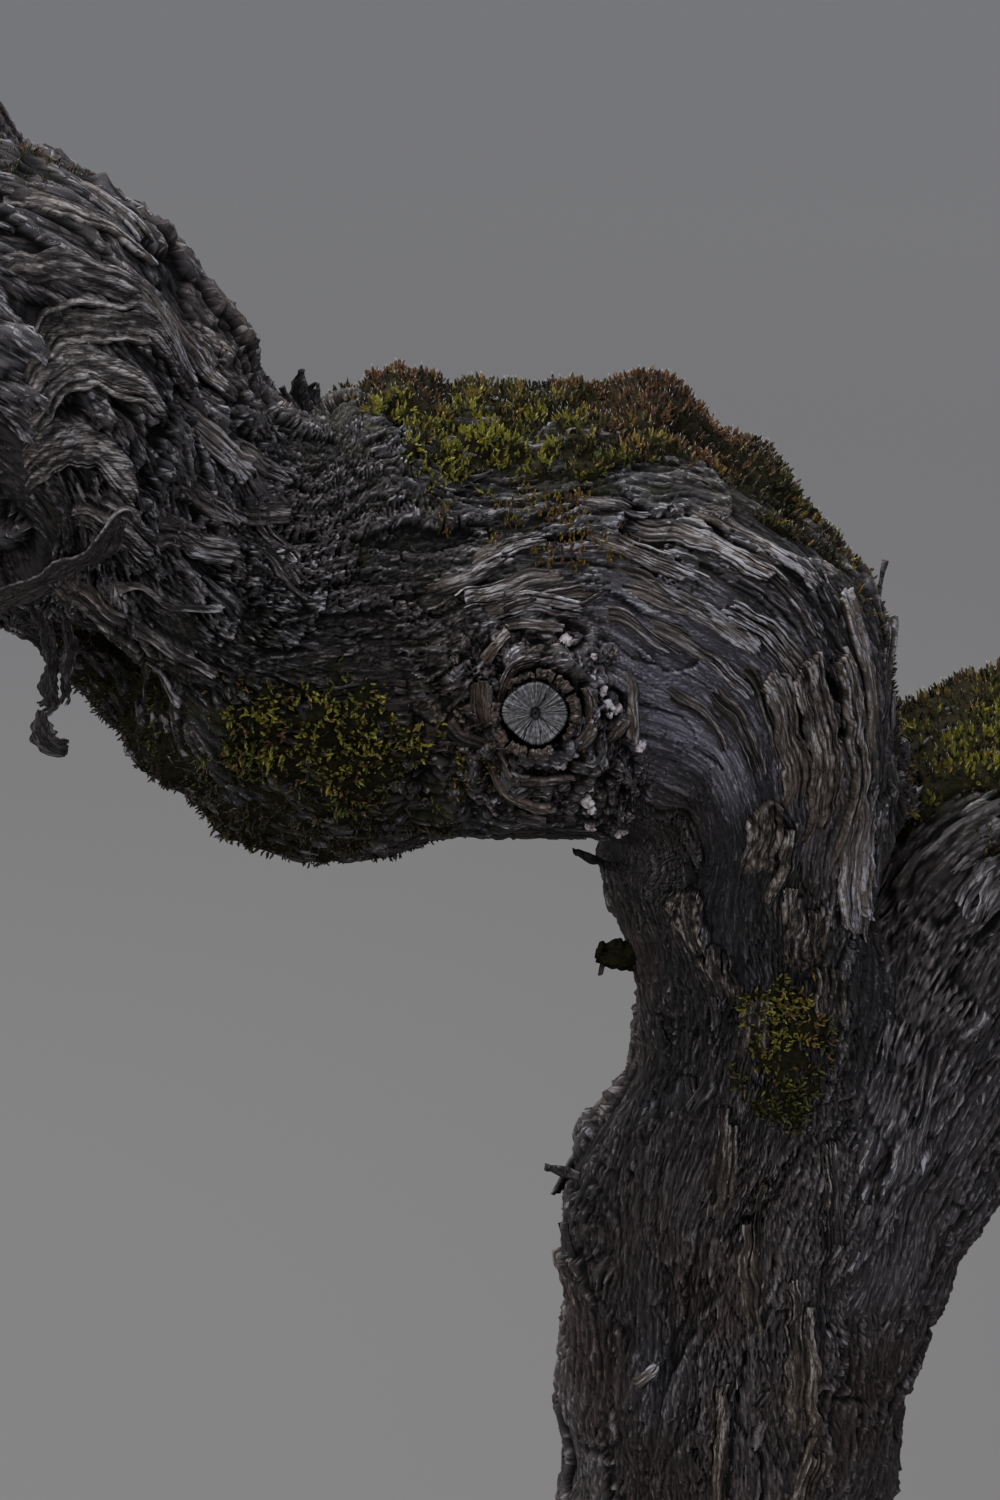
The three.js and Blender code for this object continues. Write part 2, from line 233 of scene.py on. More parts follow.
class Stem:
    """A line of stations and the uneven surface round it, in millimetres.

    Angle 0 is the outer side, a quarter turn is the front.
    """

    def __init__(self, stations: tuple[Station, ...], knots: list[Knot], on_ground: bool) -> None:
        """Reads the stations into smooth curves over the length.

        Args:
            stations: the sections, from the ground up.
            knots: the places where the surface stands out or sinks.
            on_ground: whether the first section is the flat cut at ground level.
        """
        self.on_ground = on_ground
        at = np.array([station.at for station in stations], float)
        self.lengths = np.r_[0, np.cumsum(np.linalg.norm(np.diff(at, axis=0), axis=1))]
        self.length = float(self.lengths[-1])
        columns = [*at.T, *np.array([station.half for station in stations], float).T]
        columns.append(np.radians([station.grows for station in stations]))
        self.curves = np.array(columns)
        self.knots = knots

    def read(self, s: Grid) -> Grid:
        """Centre, half sizes and growing angle at the lengths, on the first axis."""
        knots = self.lengths
        last = len(knots) - 1
        before = np.maximum(np.arange(last + 1) - 1, 0)
        after = np.minimum(np.arange(last + 1) + 1, last)
        slope = (self.curves[:, after] - self.curves[:, before]) / (knots[after] - knots[before])
        i = np.clip(np.searchsorted(knots, s, side="left") - 1, 0, last - 1)
        span = knots[i + 1] - knots[i]
        t = (s - knots[i]) / span
        start = self.curves[:, i]
        rise = self.curves[:, i + 1] - start
        ease_in = (1 - t) * (slope[:, i] * span - rise)
        ease_out = t * (slope[:, i + 1] * span - rise)
        return start + t * rise + t * (1 - t) * (ease_in - ease_out)

    def frame(self, s: Grid) -> tuple[Grid, Grid, Grid, Grid]:
        """Centre, way of growing, outer side and front side at the lengths."""
        s = np.asarray(s, float)
        x, y, z, _, _, grows = self.read(s)
        low = np.maximum(s - 1, 0)
        high = np.minimum(s + 1, self.length)
        to_front = np.clip(-(self.read(high)[1] - self.read(low)[1]) / (high - low), -0.6, 0.6)
        level = np.sqrt(1 - to_front**2)
        flat = np.zeros_like(grows)
        in_view = np.stack([np.cos(grows), flat, np.sin(grows)], -1)
        forward = np.array([0.0, -1.0, 0.0])
        along = in_view * level[..., None] + forward * to_front[..., None]
        outer = np.stack([np.sin(grows), flat, -np.cos(grows)], -1)
        front = forward * level[..., None] - in_view * to_front[..., None]
        return np.stack([x, y, z], -1), along, outer, front

    def point(self, s: Grid, angle: Grid) -> Grid:
        """Points of the surface.

        Args:
            s: lengths along the stem.
            angle: angles round it, in radians.

        Returns:
            Points in millimetres, on the last axis.
        """
        s, angle = np.broadcast_arrays(np.asarray(s, float), np.asarray(angle, float))
        centre, _, outer, front = self.frame(s)
        across, deep = self.read(s)[3:5]
        swell = 1 + 0.045 * np.cos(3 * angle + 0.011 * s + 0.6)
        swell += 0.022 * np.cos(5 * angle - 0.024 * s)
        swell += 0.16 * np.exp(-centre[..., 2] / 34) * np.cos(5 * angle + 0.4)
        spoke = outer * (across * swell * np.cos(angle))[..., None]
        spoke = spoke + front * (deep * swell * np.sin(angle))[..., None]
        bare = centre + spoke
        rise = np.zeros(s.shape)
        for knot in self.knots:
            away = ((bare - np.array(knot.at, float)) ** 2).sum(-1) / knot.width**2
            rise = rise + knot.height * np.exp(-away)
        return bare + unit(spoke) * rise[..., None]


@dataclass(frozen=True)
class Patch:
    """A soft-edged area of an unrolled stem: length and angle of its middle, and its reaches."""

    s: float
    angle: float
    reach_s: float
    reach_angle: float
    amount: float = 1.0

    def mask(self, s: Grid, angle: Grid) -> Grid:
        """The amount in the patch, falling to 0 outside it."""
        turn = turned(angle, self.angle)
        away = ((s - self.s) / self.reach_s) ** 2 + (turn / self.reach_angle) ** 2
        return self.amount * np.exp(-(away**1.5))


def covered(patches: tuple[Patch, ...], s: Grid, angle: Grid) -> Grid:
    """The strongest of the patches at the lengths and angles."""
    total = np.zeros(np.broadcast(s, angle).shape)
    for patch in patches:
        total = np.maximum(total, patch.mask(s, angle))
    return total


@dataclass(frozen=True)
class Grain:
    """Where the bark's grain runs on a stem, and how the bark looks there."""

    leans: tuple[Patch, ...] = ()
    eyes: tuple[Patch, ...] = ()
    burls: tuple[Patch, ...] = ()
    smooth: tuple[Patch, ...] = ()
    silver: tuple[Patch, ...] = ()
    crimped: tuple[Patch, ...] = ()
    damp: tuple[Patch, ...] = ()
    crumbly: tuple[Patch, ...] = ()
    long: tuple[Patch, ...] = ()
    shades: tuple[Patch, ...] = ()
    lips: tuple[Patch, ...] = ()
    sheets: tuple[Patch, ...] = ()
    soft: tuple[Patch, ...] = ()
    short: tuple[Patch, ...] = ()


@dataclass(frozen=True)
class StripLayer:
    """One layer of bark strips: how many, and the ranges of their sizes in millimetres."""

    count: int
    length: tuple[float, float]
    width: tuple[float, float]
    thick: tuple[float, float]
    level: float
    lift: float
    jag: float
    skew: float = 4.0


def crags(s: Grid, angle: Grid, size: float, seed: int) -> tuple[Grid, Grid]:
    """Broken facets on an unrolled stem, which close round it.

    Args:
        s: lengths along the stem.
        angle: angles round it, in radians.
        size: a facet's usual size, in millimetres.
        seed: fixes the facets.

    Returns:
        Heights between -1 and 1 that tilt from facet to facet, and 1 on the facets with 0 in the cracks.
    """
    around = int(TURN * 40 / size)
    table = np.random.default_rng(seed).random((97, around, 5))
    u, v = s / size, angle / TURN * around
    first, second = np.full(u.shape, 9.0), np.full(u.shape, 9.0)
    height = np.zeros(u.shape)
    for step in range(9):
        i = np.floor(u).astype(int) + step // 3 - 1
        j = np.floor(v).astype(int) + step % 3 - 1
        cell = table[i % 97, j % around]
        x, y = u - i - cell[..., 0], v - j - cell[..., 1]
        away = np.hypot(x, y)
        value = 2 * cell[..., 2] - 1 + 2.2 * ((cell[..., 3] - 0.5) * x + (cell[..., 4] - 0.5) * y)
        height = np.where(away < first, value, height)
        second = np.where(away < first, first, np.minimum(second, away))
        first = np.minimum(first, away)
    return height, smoothstep(0.02, 0.24, second - first)


class Skin:
    """The unrolled surface of a stem as a grid of points, with bark painted on it.

    The columns lie closer together at the front, where the bark is seen from near.
    """

    pinch = 0.3

    def __init__(self, stem: Stem, rows: Grid, columns: int, grain: Grain, seed: int) -> None:
        """Lays the grid and measures it.

        Args:
            stem: the stem under the bark.
            rows: lengths of the grid's rows.
            columns: number of points round the stem.
            grain: how the bark's grain runs.
            seed: fixes everything random on this stem.
        """
        self.stem = stem
        self.rows = rows
        self.columns = columns
        self.grain = grain
        self.random = np.random.default_rng(seed)
        self.even = np.linspace(-1, TURN + 1, 4001)
        self.uneven = self.even - self.pinch * np.sin(self.even - math.pi / 2)
        self.angles = np.interp(np.arange(columns) / columns * TURN, self.even, self.uneven)
        self.s, self.angle = np.meshgrid(rows, self.angles, indexing="ij")
        self.base = stem.point(self.s, self.angle)
        along = np.gradient(self.base, rows, axis=0)
        step = (np.roll(self.angles, -1) - np.roll(self.angles, 1)) % TURN / 2
        round_stem = (np.roll(self.base, -1, 1) - np.roll(self.base, 1, 1)) / (2 * step)[None, :, None]
        self.along_mm = np.maximum(np.linalg.norm(along, axis=-1), 0.12)
        self.round_mm = np.maximum(np.linalg.norm(round_stem, axis=-1), 2.0)
        centre = stem.frame(rows)[0][:, None, :]
        spoke = unit(self.base - centre)
        normal = unit(np.cross(along, round_stem))
        wrong = (normal * spoke).sum(-1, keepdims=True) < 0.15
        self.normal = unit(np.where(wrong, spoke, normal))
        self.along = unit(along)
        self.row_mm = np.gradient(rows)[:, None] * self.along_mm
        self.column_mm = step * self.round_mm
        self.sway = Waves(seed + 1, 60, 3)
        self.height = np.zeros(self.s.shape)
        self.tone = np.full(self.s.shape, 0.5)
        self.fibre = np.stack([self.angle * 40, self.s, np.zeros_like(self.s)], -1)
        self.extra = np.zeros((*self.s.shape, 3))

    def column_at(self, angle: Grid) -> Grid:
        """The column, with its fraction, at each angle."""
        return np.interp(np.mod(angle, TURN), self.uneven, self.even) / TURN * self.columns

    def nearest(self, s: Grid, angle: Grid) -> tuple[Grid, Grid]:
        """Row and column of the grid point nearest to each length and angle."""
        row = np.interp(s, self.rows, np.arange(len(self.rows)))
        column = self.column_at(angle)
        return np.rint(row).astype(int), np.rint(column).astype(int) % self.columns

    def sample(self, grid: Grid, s: Grid, angle: Grid) -> Grid:
        """A grid's values between its points.

        Args:
            grid: values on the unrolled surface, of one or three numbers each.
            s: lengths along the stem.
            angle: angles round it, in radians.

        Returns:
            The values at the lengths and angles.
        """
        row = np.clip(np.interp(s, self.rows, np.arange(len(self.rows))), 0, len(self.rows) - 1.001)
        column = self.column_at(angle)
        i, j = np.floor(row).astype(int), np.floor(column).astype(int)
        u, v = row - i, column - j
        if grid.ndim > 2:
            u, v = u[..., None], v[..., None]
        near, far = j % self.columns, (j + 1) % self.columns
        low = (1 - v) * grid[i, near] + v * grid[i, far]
        high = (1 - v) * grid[i + 1, near] + v * grid[i + 1, far]
        return (1 - u) * low + u * high

    def area(self, row: Grid, column: Grid) -> Grid:
        """Square millimetres to a millimetre of length and a radian of angle, at grid points."""
        return self.along_mm[row, column] * self.round_mm[row, column]

    def finish(self) -> None:
        """Keeps the grown surface and a softened copy that things lie on."""
        self.shell = self.surface()
        soft = blurred(self.height, 2.5, 3.5)
        self.bed = self.base + self.extra + self.normal * soft[..., None]

    def from_middle(self, patch: Patch, s: Grid, angle: Grid) -> tuple[Grid, Grid]:
        """Millimetres along and round the stem from a patch's middle."""
        row, column = self.nearest(np.array(patch.s), np.array(math.radians(patch.angle)))
        along = (s - patch.s) * self.along_mm[row, column]
        return along, np.radians(turned(angle, patch.angle)) * self.round_mm[row, column]

    def heading(self, s: Grid, angle: Grid) -> Grid:
        """The grain's angle to the stem's line: positive turns from the outer side to the front."""
        grain = self.grain
        lean = math.radians(9) * self.sway(s, angle)
        for patch in grain.leans:
            unit_patch = Patch(patch.s, patch.angle, patch.reach_s, patch.reach_angle)
            lean = lean + math.radians(patch.amount) * unit_patch.mask(s, angle)
        for eye in grain.eyes:
            x, y = self.from_middle(eye, s, angle)
            r2 = np.maximum(x * x + y * y, (0.55 * eye.reach_s) ** 2)
            pull = eye.reach_s**2 / (r2 * r2)
            flow_x = 1 - pull * (x * x - y * y)
            flow_y = -2 * pull * x * y
            lean = lean + np.arctan2(flow_y, np.maximum(flow_x, 0.02)) * eye.amount
        return lean

    def strips(self, layer: StripLayer) -> tuple[Grid, ...]:
        """Traces a layer's strips along the grain.

        Args:
            layer: sizes of the strips.

        Returns:
            Centre lines, lengths, widths, thicknesses and smoothness, one row for each strip.
        """
        random, count, grain = self.random, layer.count, self.grain
        s = random.uniform(self.rows[0], self.rows[-1], count)
        angle = random.uniform(0, TURN, count)
        burl = covered(grain.burls, s, angle)
        smooth = covered(grain.smooth, s, angle)
        pick = random.random(count) ** 1.8
        length = (layer.length[0] + np.ptp(layer.length) * pick) * (1 - 0.78 * burl)
        long = covered(grain.long, s, angle)
        length *= 1 + 1.1 * smooth + 1.1 * long
        short = covered(grain.short, s, angle)
        length *= (1 - 0.22 * covered(grain.crumbly, s, angle)) * (1 - short)
        coarse = layer.width[0] > 3
        width = random.uniform(*layer.width, count) * (1 - 0.35 * burl) * (1 + (0.3 + 0.4 * coarse) * long)
        thick = random.uniform(*layer.thick, count) * (1 - 0.78 * smooth) * (1 - 0.6 * (not coarse) * long)
        skew = random.normal(0, math.radians(layer.skew), count) * (1 - 0.6 * smooth) * (1 + 3 * short)
        skew = skew + burl * random.normal(0, 0.9, count)
        steps = int(layer.length[1] * 2.1 / 0.42) + 1
        line = np.zeros((count, steps, 4))
        crimp = (0.12 + covered(grain.crimped, s, angle)) * random.uniform(0.6, 1.2, count)
        crimp = crimp * (1 - smooth)
        run = np.zeros(count)
        for k in range(steps):
            row, column = self.nearest(np.clip(s, *self.rows[[0, -1]]), angle)
            turn = self.heading(s, angle) + skew
            turn = turn + crimp * 1.05 * np.sin(TURN * s / 6.8 + 3.4 * self.sway(1.7 * s, angle))
            line[:, k] = np.stack([s, angle, turn, run], -1)
            step = np.clip(0.8 * self.row_mm[row, column], 0.14, 0.6)
            s = s + step * np.cos(turn) / self.along_mm[row, column]
            angle = angle + step * np.sin(turn) / self.round_mm[row, column]
            run = run + step
        return line, length, width, thick, smooth

    def paint(self, layer: StripLayer) -> tuple[Grid, ...]:
        """Paints a layer of strips, each over the ones before it.

        Args:
            layer: sizes of the strips.

        Returns:
            Height, tone, cover and fibre coordinates on the grid.
        """
        random = self.random
        height = np.zeros(self.s.shape)
        tone = np.zeros(self.s.shape)
        cover = np.zeros(self.s.shape, bool)
        fibre = np.zeros((*self.s.shape, 3))
        first, last = self.rows[0], self.rows[-1]
        for line, length, width, thick, smooth in zip(*self.strips(layer)):
            runs = line[:, 3]
            steps = max(3, int(np.searchsorted(runs, length)))
            row_s, column_a, turn, run = line[:steps].T
            length = min(length, runs[min(steps, len(runs) - 1)])
            t = run / length
            blunt = random.random() < 0.55
            taper = np.minimum(1, t / 0.12) ** 0.6
            if not blunt:
                taper = taper * np.minimum(1, (1 - t) / 0.3) ** 0.7
            ragged = 1 + 0.18 * np.sin(t * length / random.uniform(1.5, 5) + random.uniform(0, TURN))
            half = 0.5 * width * taper * ragged
            row, column = self.nearest(np.clip(row_s, first, last), column_a)
            lanes = int(width / max(0.75 * self.column_mm[row, column].min(), 0.14))
            lanes = max(3, min(lanes, 60) | 1)
            side = np.linspace(-1, 1, lanes)
            offset = half[:, None] * side[None, :]
            ends = length * t[:, None] <= length - layer.jag * random.random(61)[None, :lanes] ** 2
            keep = ends | (not blunt)
            s = row_s[:, None] - offset * np.sin(turn)[:, None] / self.along_mm[row, column][:, None]
            a = column_a[:, None] + offset * np.cos(turn)[:, None] / self.round_mm[row, column][:, None]
            keep = keep & (s >= first) & (s <= last)
            row, column = self.nearest(np.clip(s, first, last), a)
            level = layer.level * random.random() * (1 - 0.85 * smooth)
            lane = np.convolve(random.normal(0, 1, 63)[: lanes + 2], (0.3, 1, 0.3), "valid")
            uneven = 0.38 * random.normal() * side + 0.13 * lane
            edge = 1 - 0.3 * np.abs(side) ** 6 + uneven * (1 - 0.5 * smooth)
            bend = layer.lift * random.random() ** 3 * (1 - smooth) * smoothstep(0.62, 1.0, t) ** 1.5
            value = level + thick * edge[None, :] + bend[:, None] * (blunt * 0.8 + 0.2)
            row, column = row[keep], column[keep]
            height[row, column] = np.broadcast_to(value, keep.shape)[keep]
            shade = random.random() + 0.1 * lane + 0 * t[:, None]
            tone[row, column] = np.clip(shade, 0, 1)[keep]
            cover[row, column] = True
            along = np.broadcast_to((t * length + 37 * random.random())[:, None], keep.shape)
            depth = np.full(len(row), random.uniform(0, 400))
            fibre[row, column] = np.stack([offset[keep], along[keep], depth], -1)
        return height, tone, cover, fibre

    def grow_bark(self, share: float) -> None:
        """Paints the coarse, middle and fine strips and adds them up.

        Args:
            share: area of this stem as a share of the main stem's, which scales the counts.
        """
        coarse = StripLayer(int(800 * share), (16, 80), (4.0, 12), (0.8, 1.9), 1.5, 1.8, 8, 5)
        middle = StripLayer(int(2900 * share), (9, 50), (1.5, 4.6), (0.3, 0.85), 0.6, 0.9, 6, 6)
        fine = StripLayer(int(12500 * share), (4, 24), (0.5, 1.2), (0.15, 0.42), 0.35, 0.4, 2, 8)
        layers = [self.paint(layer) for layer in (coarse, middle, fine)]
        lumps = Waves(int(self.random.integers(1 << 30)), 26, 6, 26)(self.s, self.angle)
        burl = covered(self.grain.burls, self.s, self.angle)
        smooth = covered(self.grain.smooth, self.s, self.angle)
        crumbly = covered(self.grain.crumbly, self.s, self.angle) * (1 - burl)
        soft = covered(self.grain.soft, self.s, self.angle)
        height = layers[0][0] + layers[1][0] * (1 - 0.4 * soft) + layers[2][0] * (1 - 0.85 * soft)
        height = height + 0.9 * lumps
        chunks, gaps = crags(self.s, self.angle, 3.1, 51)
        crumbs, cracks = crags(self.s, self.angle, 1.4, 52)
        knobs = Waves(58, 7.5, 30, 40)(self.s, self.angle)
        broken = 0.9 * chunks + 0.4 * crumbs + gaps + 0.5 * cracks + 1.5 * knobs
        height = height * (1 - 0.45 * burl) + burl * broken + self.lips()
        height = height + crumbly * (0.2 * crumbs + 0.3 * cracks - 0.3) + 0.16 * soft * crumbs
        grit = blurred(self.random.normal(0, 1, self.s.shape), 1.4, 0.5) * (1 - 0.8 * smooth) * (1 + soft)
        sheets = self.paint(StripLayer(int(460 * share), (16, 60), (7, 16), (0.8, 2.2), 0.8, 2.4, 9, 9))[0]
        height = height + covered(self.grain.sheets, self.s, self.angle) * (sheets - 1.2)
        even = blurred(height, 7, 9)
        height = np.clip(height, even - 2.3, even + 3.0)
        height = blurred(height, 0.3, 0.3) + 0.13 * grit
        self.height = height * (1 - 0.35 * smooth) - 1.6
        cover = layers[1][2]
        broad = covered(self.grain.long, self.s, self.angle)
        self.tone = (0.35 + 0.3 * broad) * layers[0][1] + (0.4 - 0.1 * broad) * layers[1][1]
        self.tone = self.tone + (0.25 - 0.2 * broad) * layers[2][1]
        shades = sum(patch.mask(self.s, self.angle) for patch in self.grain.shades)
        self.tone = np.clip(self.tone + shades, 0, 1)
        top = np.where(layers[2][2][..., None], layers[2][3], layers[1][3])
        self.fibre = np.where((cover | layers[2][2])[..., None], top, layers[0][3])
        self.squeeze = smoothstep(0.1, 0.7, self.along_mm)
        self.height = self.height * self.squeeze
        LOG.info("bark of %d by %d points, relief %.1f mm", *self.s.shape, np.ptp(self.height))

    def lips(self) -> Grid:
        """Height of the swollen rings that have grown round old cuts, with a gap inside each."""
        total = np.zeros(self.s.shape)
        for lip in self.grain.lips:
            x, y = self.from_middle(lip, self.s, self.angle)
            away = np.hypot(x, y) * (1 + 0.07 * np.sin(3 * np.arctan2(y, x) + 1))
            ring = np.exp(-(((away - lip.reach_s) / lip.reach_angle) ** 2))
            gap = np.exp(-(((away - lip.reach_s + 1.6 * lip.reach_angle) / (0.6 * lip.reach_angle)) ** 2))
            total += lip.amount * (ring - 0.9 * gap)
        return total

    def surface(self) -> Grid:
        """The bark's points, in millimetres, with the flat cut at the ground."""
        points = self.base + self.normal * self.height[..., None] + self.extra
        if self.stem.on_ground:
            points[..., 2] = np.maximum(points[..., 2], 0)
        return points

    def marks(self) -> dict[str, Grid]:
        """What the bark's material reads at each point."""
        soft = blurred(self.height, 3.2, 4.0)
        near = blurred(self.height, 0.9, 1.1)
        grain = self.grain
        patchy = Waves(77, 16, 12, 30)(self.s, self.angle)
        under = np.clip(-self.normal[..., 2], 0, 1)
        matt = covered(grain.soft, self.s, self.angle)
        spread = 2.4 + 3.4 * matt + 1.5 * covered(grain.crumbly, self.s, self.angle)
        # Green bloom; its patch under the moss crest is painted shadow, and faces that look down get more of
        # it.
        damp = np.clip(covered(grain.damp, self.s, self.angle) + 0.6 * under, 0, 1)
        return {
            "tone": self.tone,
            # Painted shade in the hollows of the relief and painted highlight on its ridges.
            "cavity": np.clip(0.5 + (self.height - soft) / spread, 0, 1),
            # Painted light and shade on the relief's fine edges.
            "crisp": np.clip(0.5 + (self.height - near) / (0.7 + 0.8 * matt), 0, 1),
            "smooth": covered(grain.smooth, self.s, self.angle),
            "silver": covered(grain.silver, self.s, self.angle),
            "damp": np.clip(damp * (0.75 + 0.4 * patchy), 0, 1),
            "crumbly": np.clip(0.25 + covered(grain.crumbly + grain.burls, self.s, self.angle), 0, 1),
        }


class NodeKit:
    """Short ways to add nodes to a tree."""

    def __init__(self, tree: Tree) -> None:
        """Keeps the tree."""
        self.tree = tree

    def feed(self, sockets: object, values: dict[str | int, object]) -> None:
        """Links outputs into the sockets of these names or numbers, or sets them to plain values."""
        for name, value in values.items():
            if isinstance(value, Socket):
                self.tree.links.new(value, sockets[name])
            else:
                sockets[name].default_value = value

    def add(self, kind: str, feeds: dict[str | int, object] | None = None, **settings: object) -> Node:
        """A new node with its properties set and its inputs fed."""
        node = self.tree.nodes.new(kind)
        for name, value in settings.items():
            setattr(node, name, value)
        self.feed(node.inputs, feeds or {})
        return node

    def math(self, operation: str, first: object, second: object) -> Socket:
        """A Math node's output, clamped where the operation's name ends in a plus sign."""
        settings = {"operation": operation.rstrip("+"), "use_clamp": operation.endswith("+")}
        return self.add("ShaderNodeMath", {0: first, 1: second}, **settings).outputs[0]

    def vector(self, operation: str, first: object, second: object) -> Socket:
        """A Vector Math node's output."""
        return self.add("ShaderNodeVectorMath", {0: first, 1: second}, operation=operation).outputs[0]

    def mix(self, factor: object, first: object, second: object, blend: str = "MIX") -> Socket:
        """A colour mix's output."""
        feeds = {"Factor": factor, 6: first, 7: second}
        return self.add("ShaderNodeMix", feeds, data_type="RGBA", blend_type=blend).outputs[2]

    def spread(self, value: object, low: float, high: float, to: tuple[float, float] = (0.0, 1.0)) -> Socket:
        """A clamped, smooth map of one range to another."""
        feeds = {"Value": value, "From Min": low, "From Max": high, "To Min": to[0], "To Max": to[1]}
        return self.add("ShaderNodeMapRange", feeds, interpolation_type="SMOOTHSTEP").outputs["Result"]

    def noise(self, vector: object, scale: float, detail: float, rough: float = 0.55) -> Socket:
        """A noise texture's value."""
        feeds = {"Vector": vector, "Scale": scale, "Detail": detail, "Roughness": rough}
        return self.add("ShaderNodeTexNoise", feeds).outputs["Fac"]

    def read(self, name: str, output: str = "Fac") -> Socket:
        """A mesh attribute's value, or its vector."""
        return self.add("ShaderNodeAttribute", attribute_name=name).outputs[output]

    def place(self) -> Socket:
        """The place on the object."""
        return self.add("ShaderNodeTexCoord").outputs["Object"]


def new_tree(kind: str, name: str, inputs: dict[str, str], outputs: dict[str, str]) -> tuple:
    """A node group with named sockets.

    Args:
        kind: the tree's type.
        name: the group's name.
        inputs: what each input holds, such as Float.
        outputs: what each output holds.
    """
    tree = bpy.data.node_groups.new(name, kind)
    for way, sockets in (("INPUT", inputs), ("OUTPUT", outputs)):
        for label, holds in sockets.items():
            tree.interface.new_socket(name=label, in_out=way, socket_type="NodeSocket" + holds)
    kit = NodeKit(tree)
    return kit, kit.add("NodeGroupInput").outputs, kit.add("NodeGroupOutput").inputs


def fibre_group() -> Tree:
    """Fine fibres along the grain, crackled across it: a streak mask, a height and cracks."""
    inputs = {"Grain": "Vector", "Fineness": "Float", "Crumbly": "Float"}
    outputs = {"Streaks": "Float", "Height": "Float", "Cracks": "Float"}
    kit, given, out = new_tree("ShaderNodeTree", "wood fibres", inputs, outputs)
    scale = {0: given["Grain"], "Scale": given["Fineness"]}
    grain = kit.add("ShaderNodeVectorMath", scale, operation="SCALE").outputs[0]
    coarse = kit.noise(kit.vector("MULTIPLY", grain, (1.3, 0.16, 1.0)), 1.0, 4.0, 0.62)
    fine = kit.noise(kit.vector("MULTIPLY", grain, (3.4, 0.4, 1.0)), 1.0, 3.0, 0.62)
    wide = kit.vector("MULTIPLY", grain, (1.15, 0.34, 1.0))
    wander = {"Vector": kit.vector("ADD", wide, kit.math("MULTIPLY", fine, 0.5)), "Scale": 1.0}
    edges = kit.add("ShaderNodeTexVoronoi", wander, feature="DISTANCE_TO_EDGE")
    cells = kit.add("ShaderNodeTexVoronoi", wander, feature="F1")
    line = kit.spread(edges.outputs["Distance"], 0.015, 0.1, (1.0, 0.0))
    cracks = kit.math("MULTIPLY", line, given["Crumbly"])
    shade = kit.add("ShaderNodeSeparateColor", {0: cells.outputs["Color"]}).outputs[0]
    patchy = kit.math("MULTIPLY", given["Crumbly"], 0.5)
    flecks = kit.math("MULTIPLY", kit.math("SUBTRACT", shade, 0.5), patchy)
    thin = kit.math("MULTIPLY", fine, 0.45)
    streaks = kit.math("ADD", kit.math("MULTIPLY", coarse, 0.55), thin)
    relief = kit.math("ADD", kit.math("MULTIPLY", coarse, 0.5), thin)
    steps = kit.math("ADD", relief, kit.math("MULTIPLY", flecks, 0.4))
    results = {
        "Streaks": kit.math("ADD+", kit.spread(streaks, 0.36, 0.64), flecks),
        "Height": kit.math("SUBTRACT", steps, kit.math("MULTIPLY", cracks, 0.45)),
        "Cracks": cracks,
    }
    kit.feed(out, results)
    return kit.tree


def shade_and_wear_group() -> Tree:
    """Paints shade in a colour's hollows, light and shade on its small edges, and greyed highlight on its
    ridges; darkens cracks.
    """
    inputs = {name: "Color" for name in ("Colour", "Hollow", "Ridge")}
    inputs |= {name: "Float" for name in ("Relief", "Edge", "Cracks", "Reach")}
    kit, given, out = new_tree("ShaderNodeTree", "weathering", inputs, {"Colour": "Color"})
    # Painted shade in the hollows of the relief.
    hollow = kit.spread(given["Relief"], 0.2, 0.5, (1.0, 0.0))
    # Ridges greyed, partly as silvered wood and partly as painted highlight.
    ridge = kit.math("MULTIPLY", kit.spread(given["Relief"], 0.5, 0.78), given["Reach"])
    shaded_and_worn = kit.mix(ridge, kit.mix(hollow, given["Colour"], given["Hollow"]), given["Ridge"])
    # Painted light and shade on the small edges.
    sharp = kit.spread(given["Edge"], 0.22, 0.74, (0.42, 1.5))
    split = kit.math("SUBTRACT", 1.0, kit.math("MULTIPLY", given["Cracks"], 0.6))
    kit.feed(out, {"Colour": kit.mix(1.0, shaded_and_worn, kit.math("MULTIPLY", sharp, split), "MULTIPLY")})
    return kit.tree


def bloom_group() -> Tree:
    """Lays green algae and dust on a colour in soft blotches; the same green is painted shadow where its mark
    is set so.
    """
    inputs = {"Colour": "Color", "Bloom": "Color", "Where": "Float", "Place": "Vector"}
    kit, given, out = new_tree("ShaderNodeTree", "algae bloom", inputs, {"Colour": "Color"})
    blotch = kit.spread(kit.noise(given["Place"], 130.0, 4.0), 0.42, 0.66)
    amount = kit.math("MULTIPLY", kit.math("MULTIPLY", blotch, given["Where"]), 0.75)
    kit.feed(out, {"Colour": kit.mix(amount, given["Colour"], given["Bloom"])})
    return kit.tree


@dataclass(frozen=True)
class WoodFinish:
    """A wood or bark: its colours by tone, as painted shade in its hollows and greyed highlight on its
    ridges, and its relief.
    """

    name: str
    dark: Colour
    light: Colour
    drift: Colour
    # The colour of the painted shade in the hollows.
    hollow: Colour
    # The ridges' grey, partly silvered wood and partly painted highlight.
    ridge: Colour
    warm: Colour | None = None
    bare: float = 0.55
    fineness: float = 1.0
    bump: float = 0.0008
    roughness: float = 0.93
    specular: float = 0.32


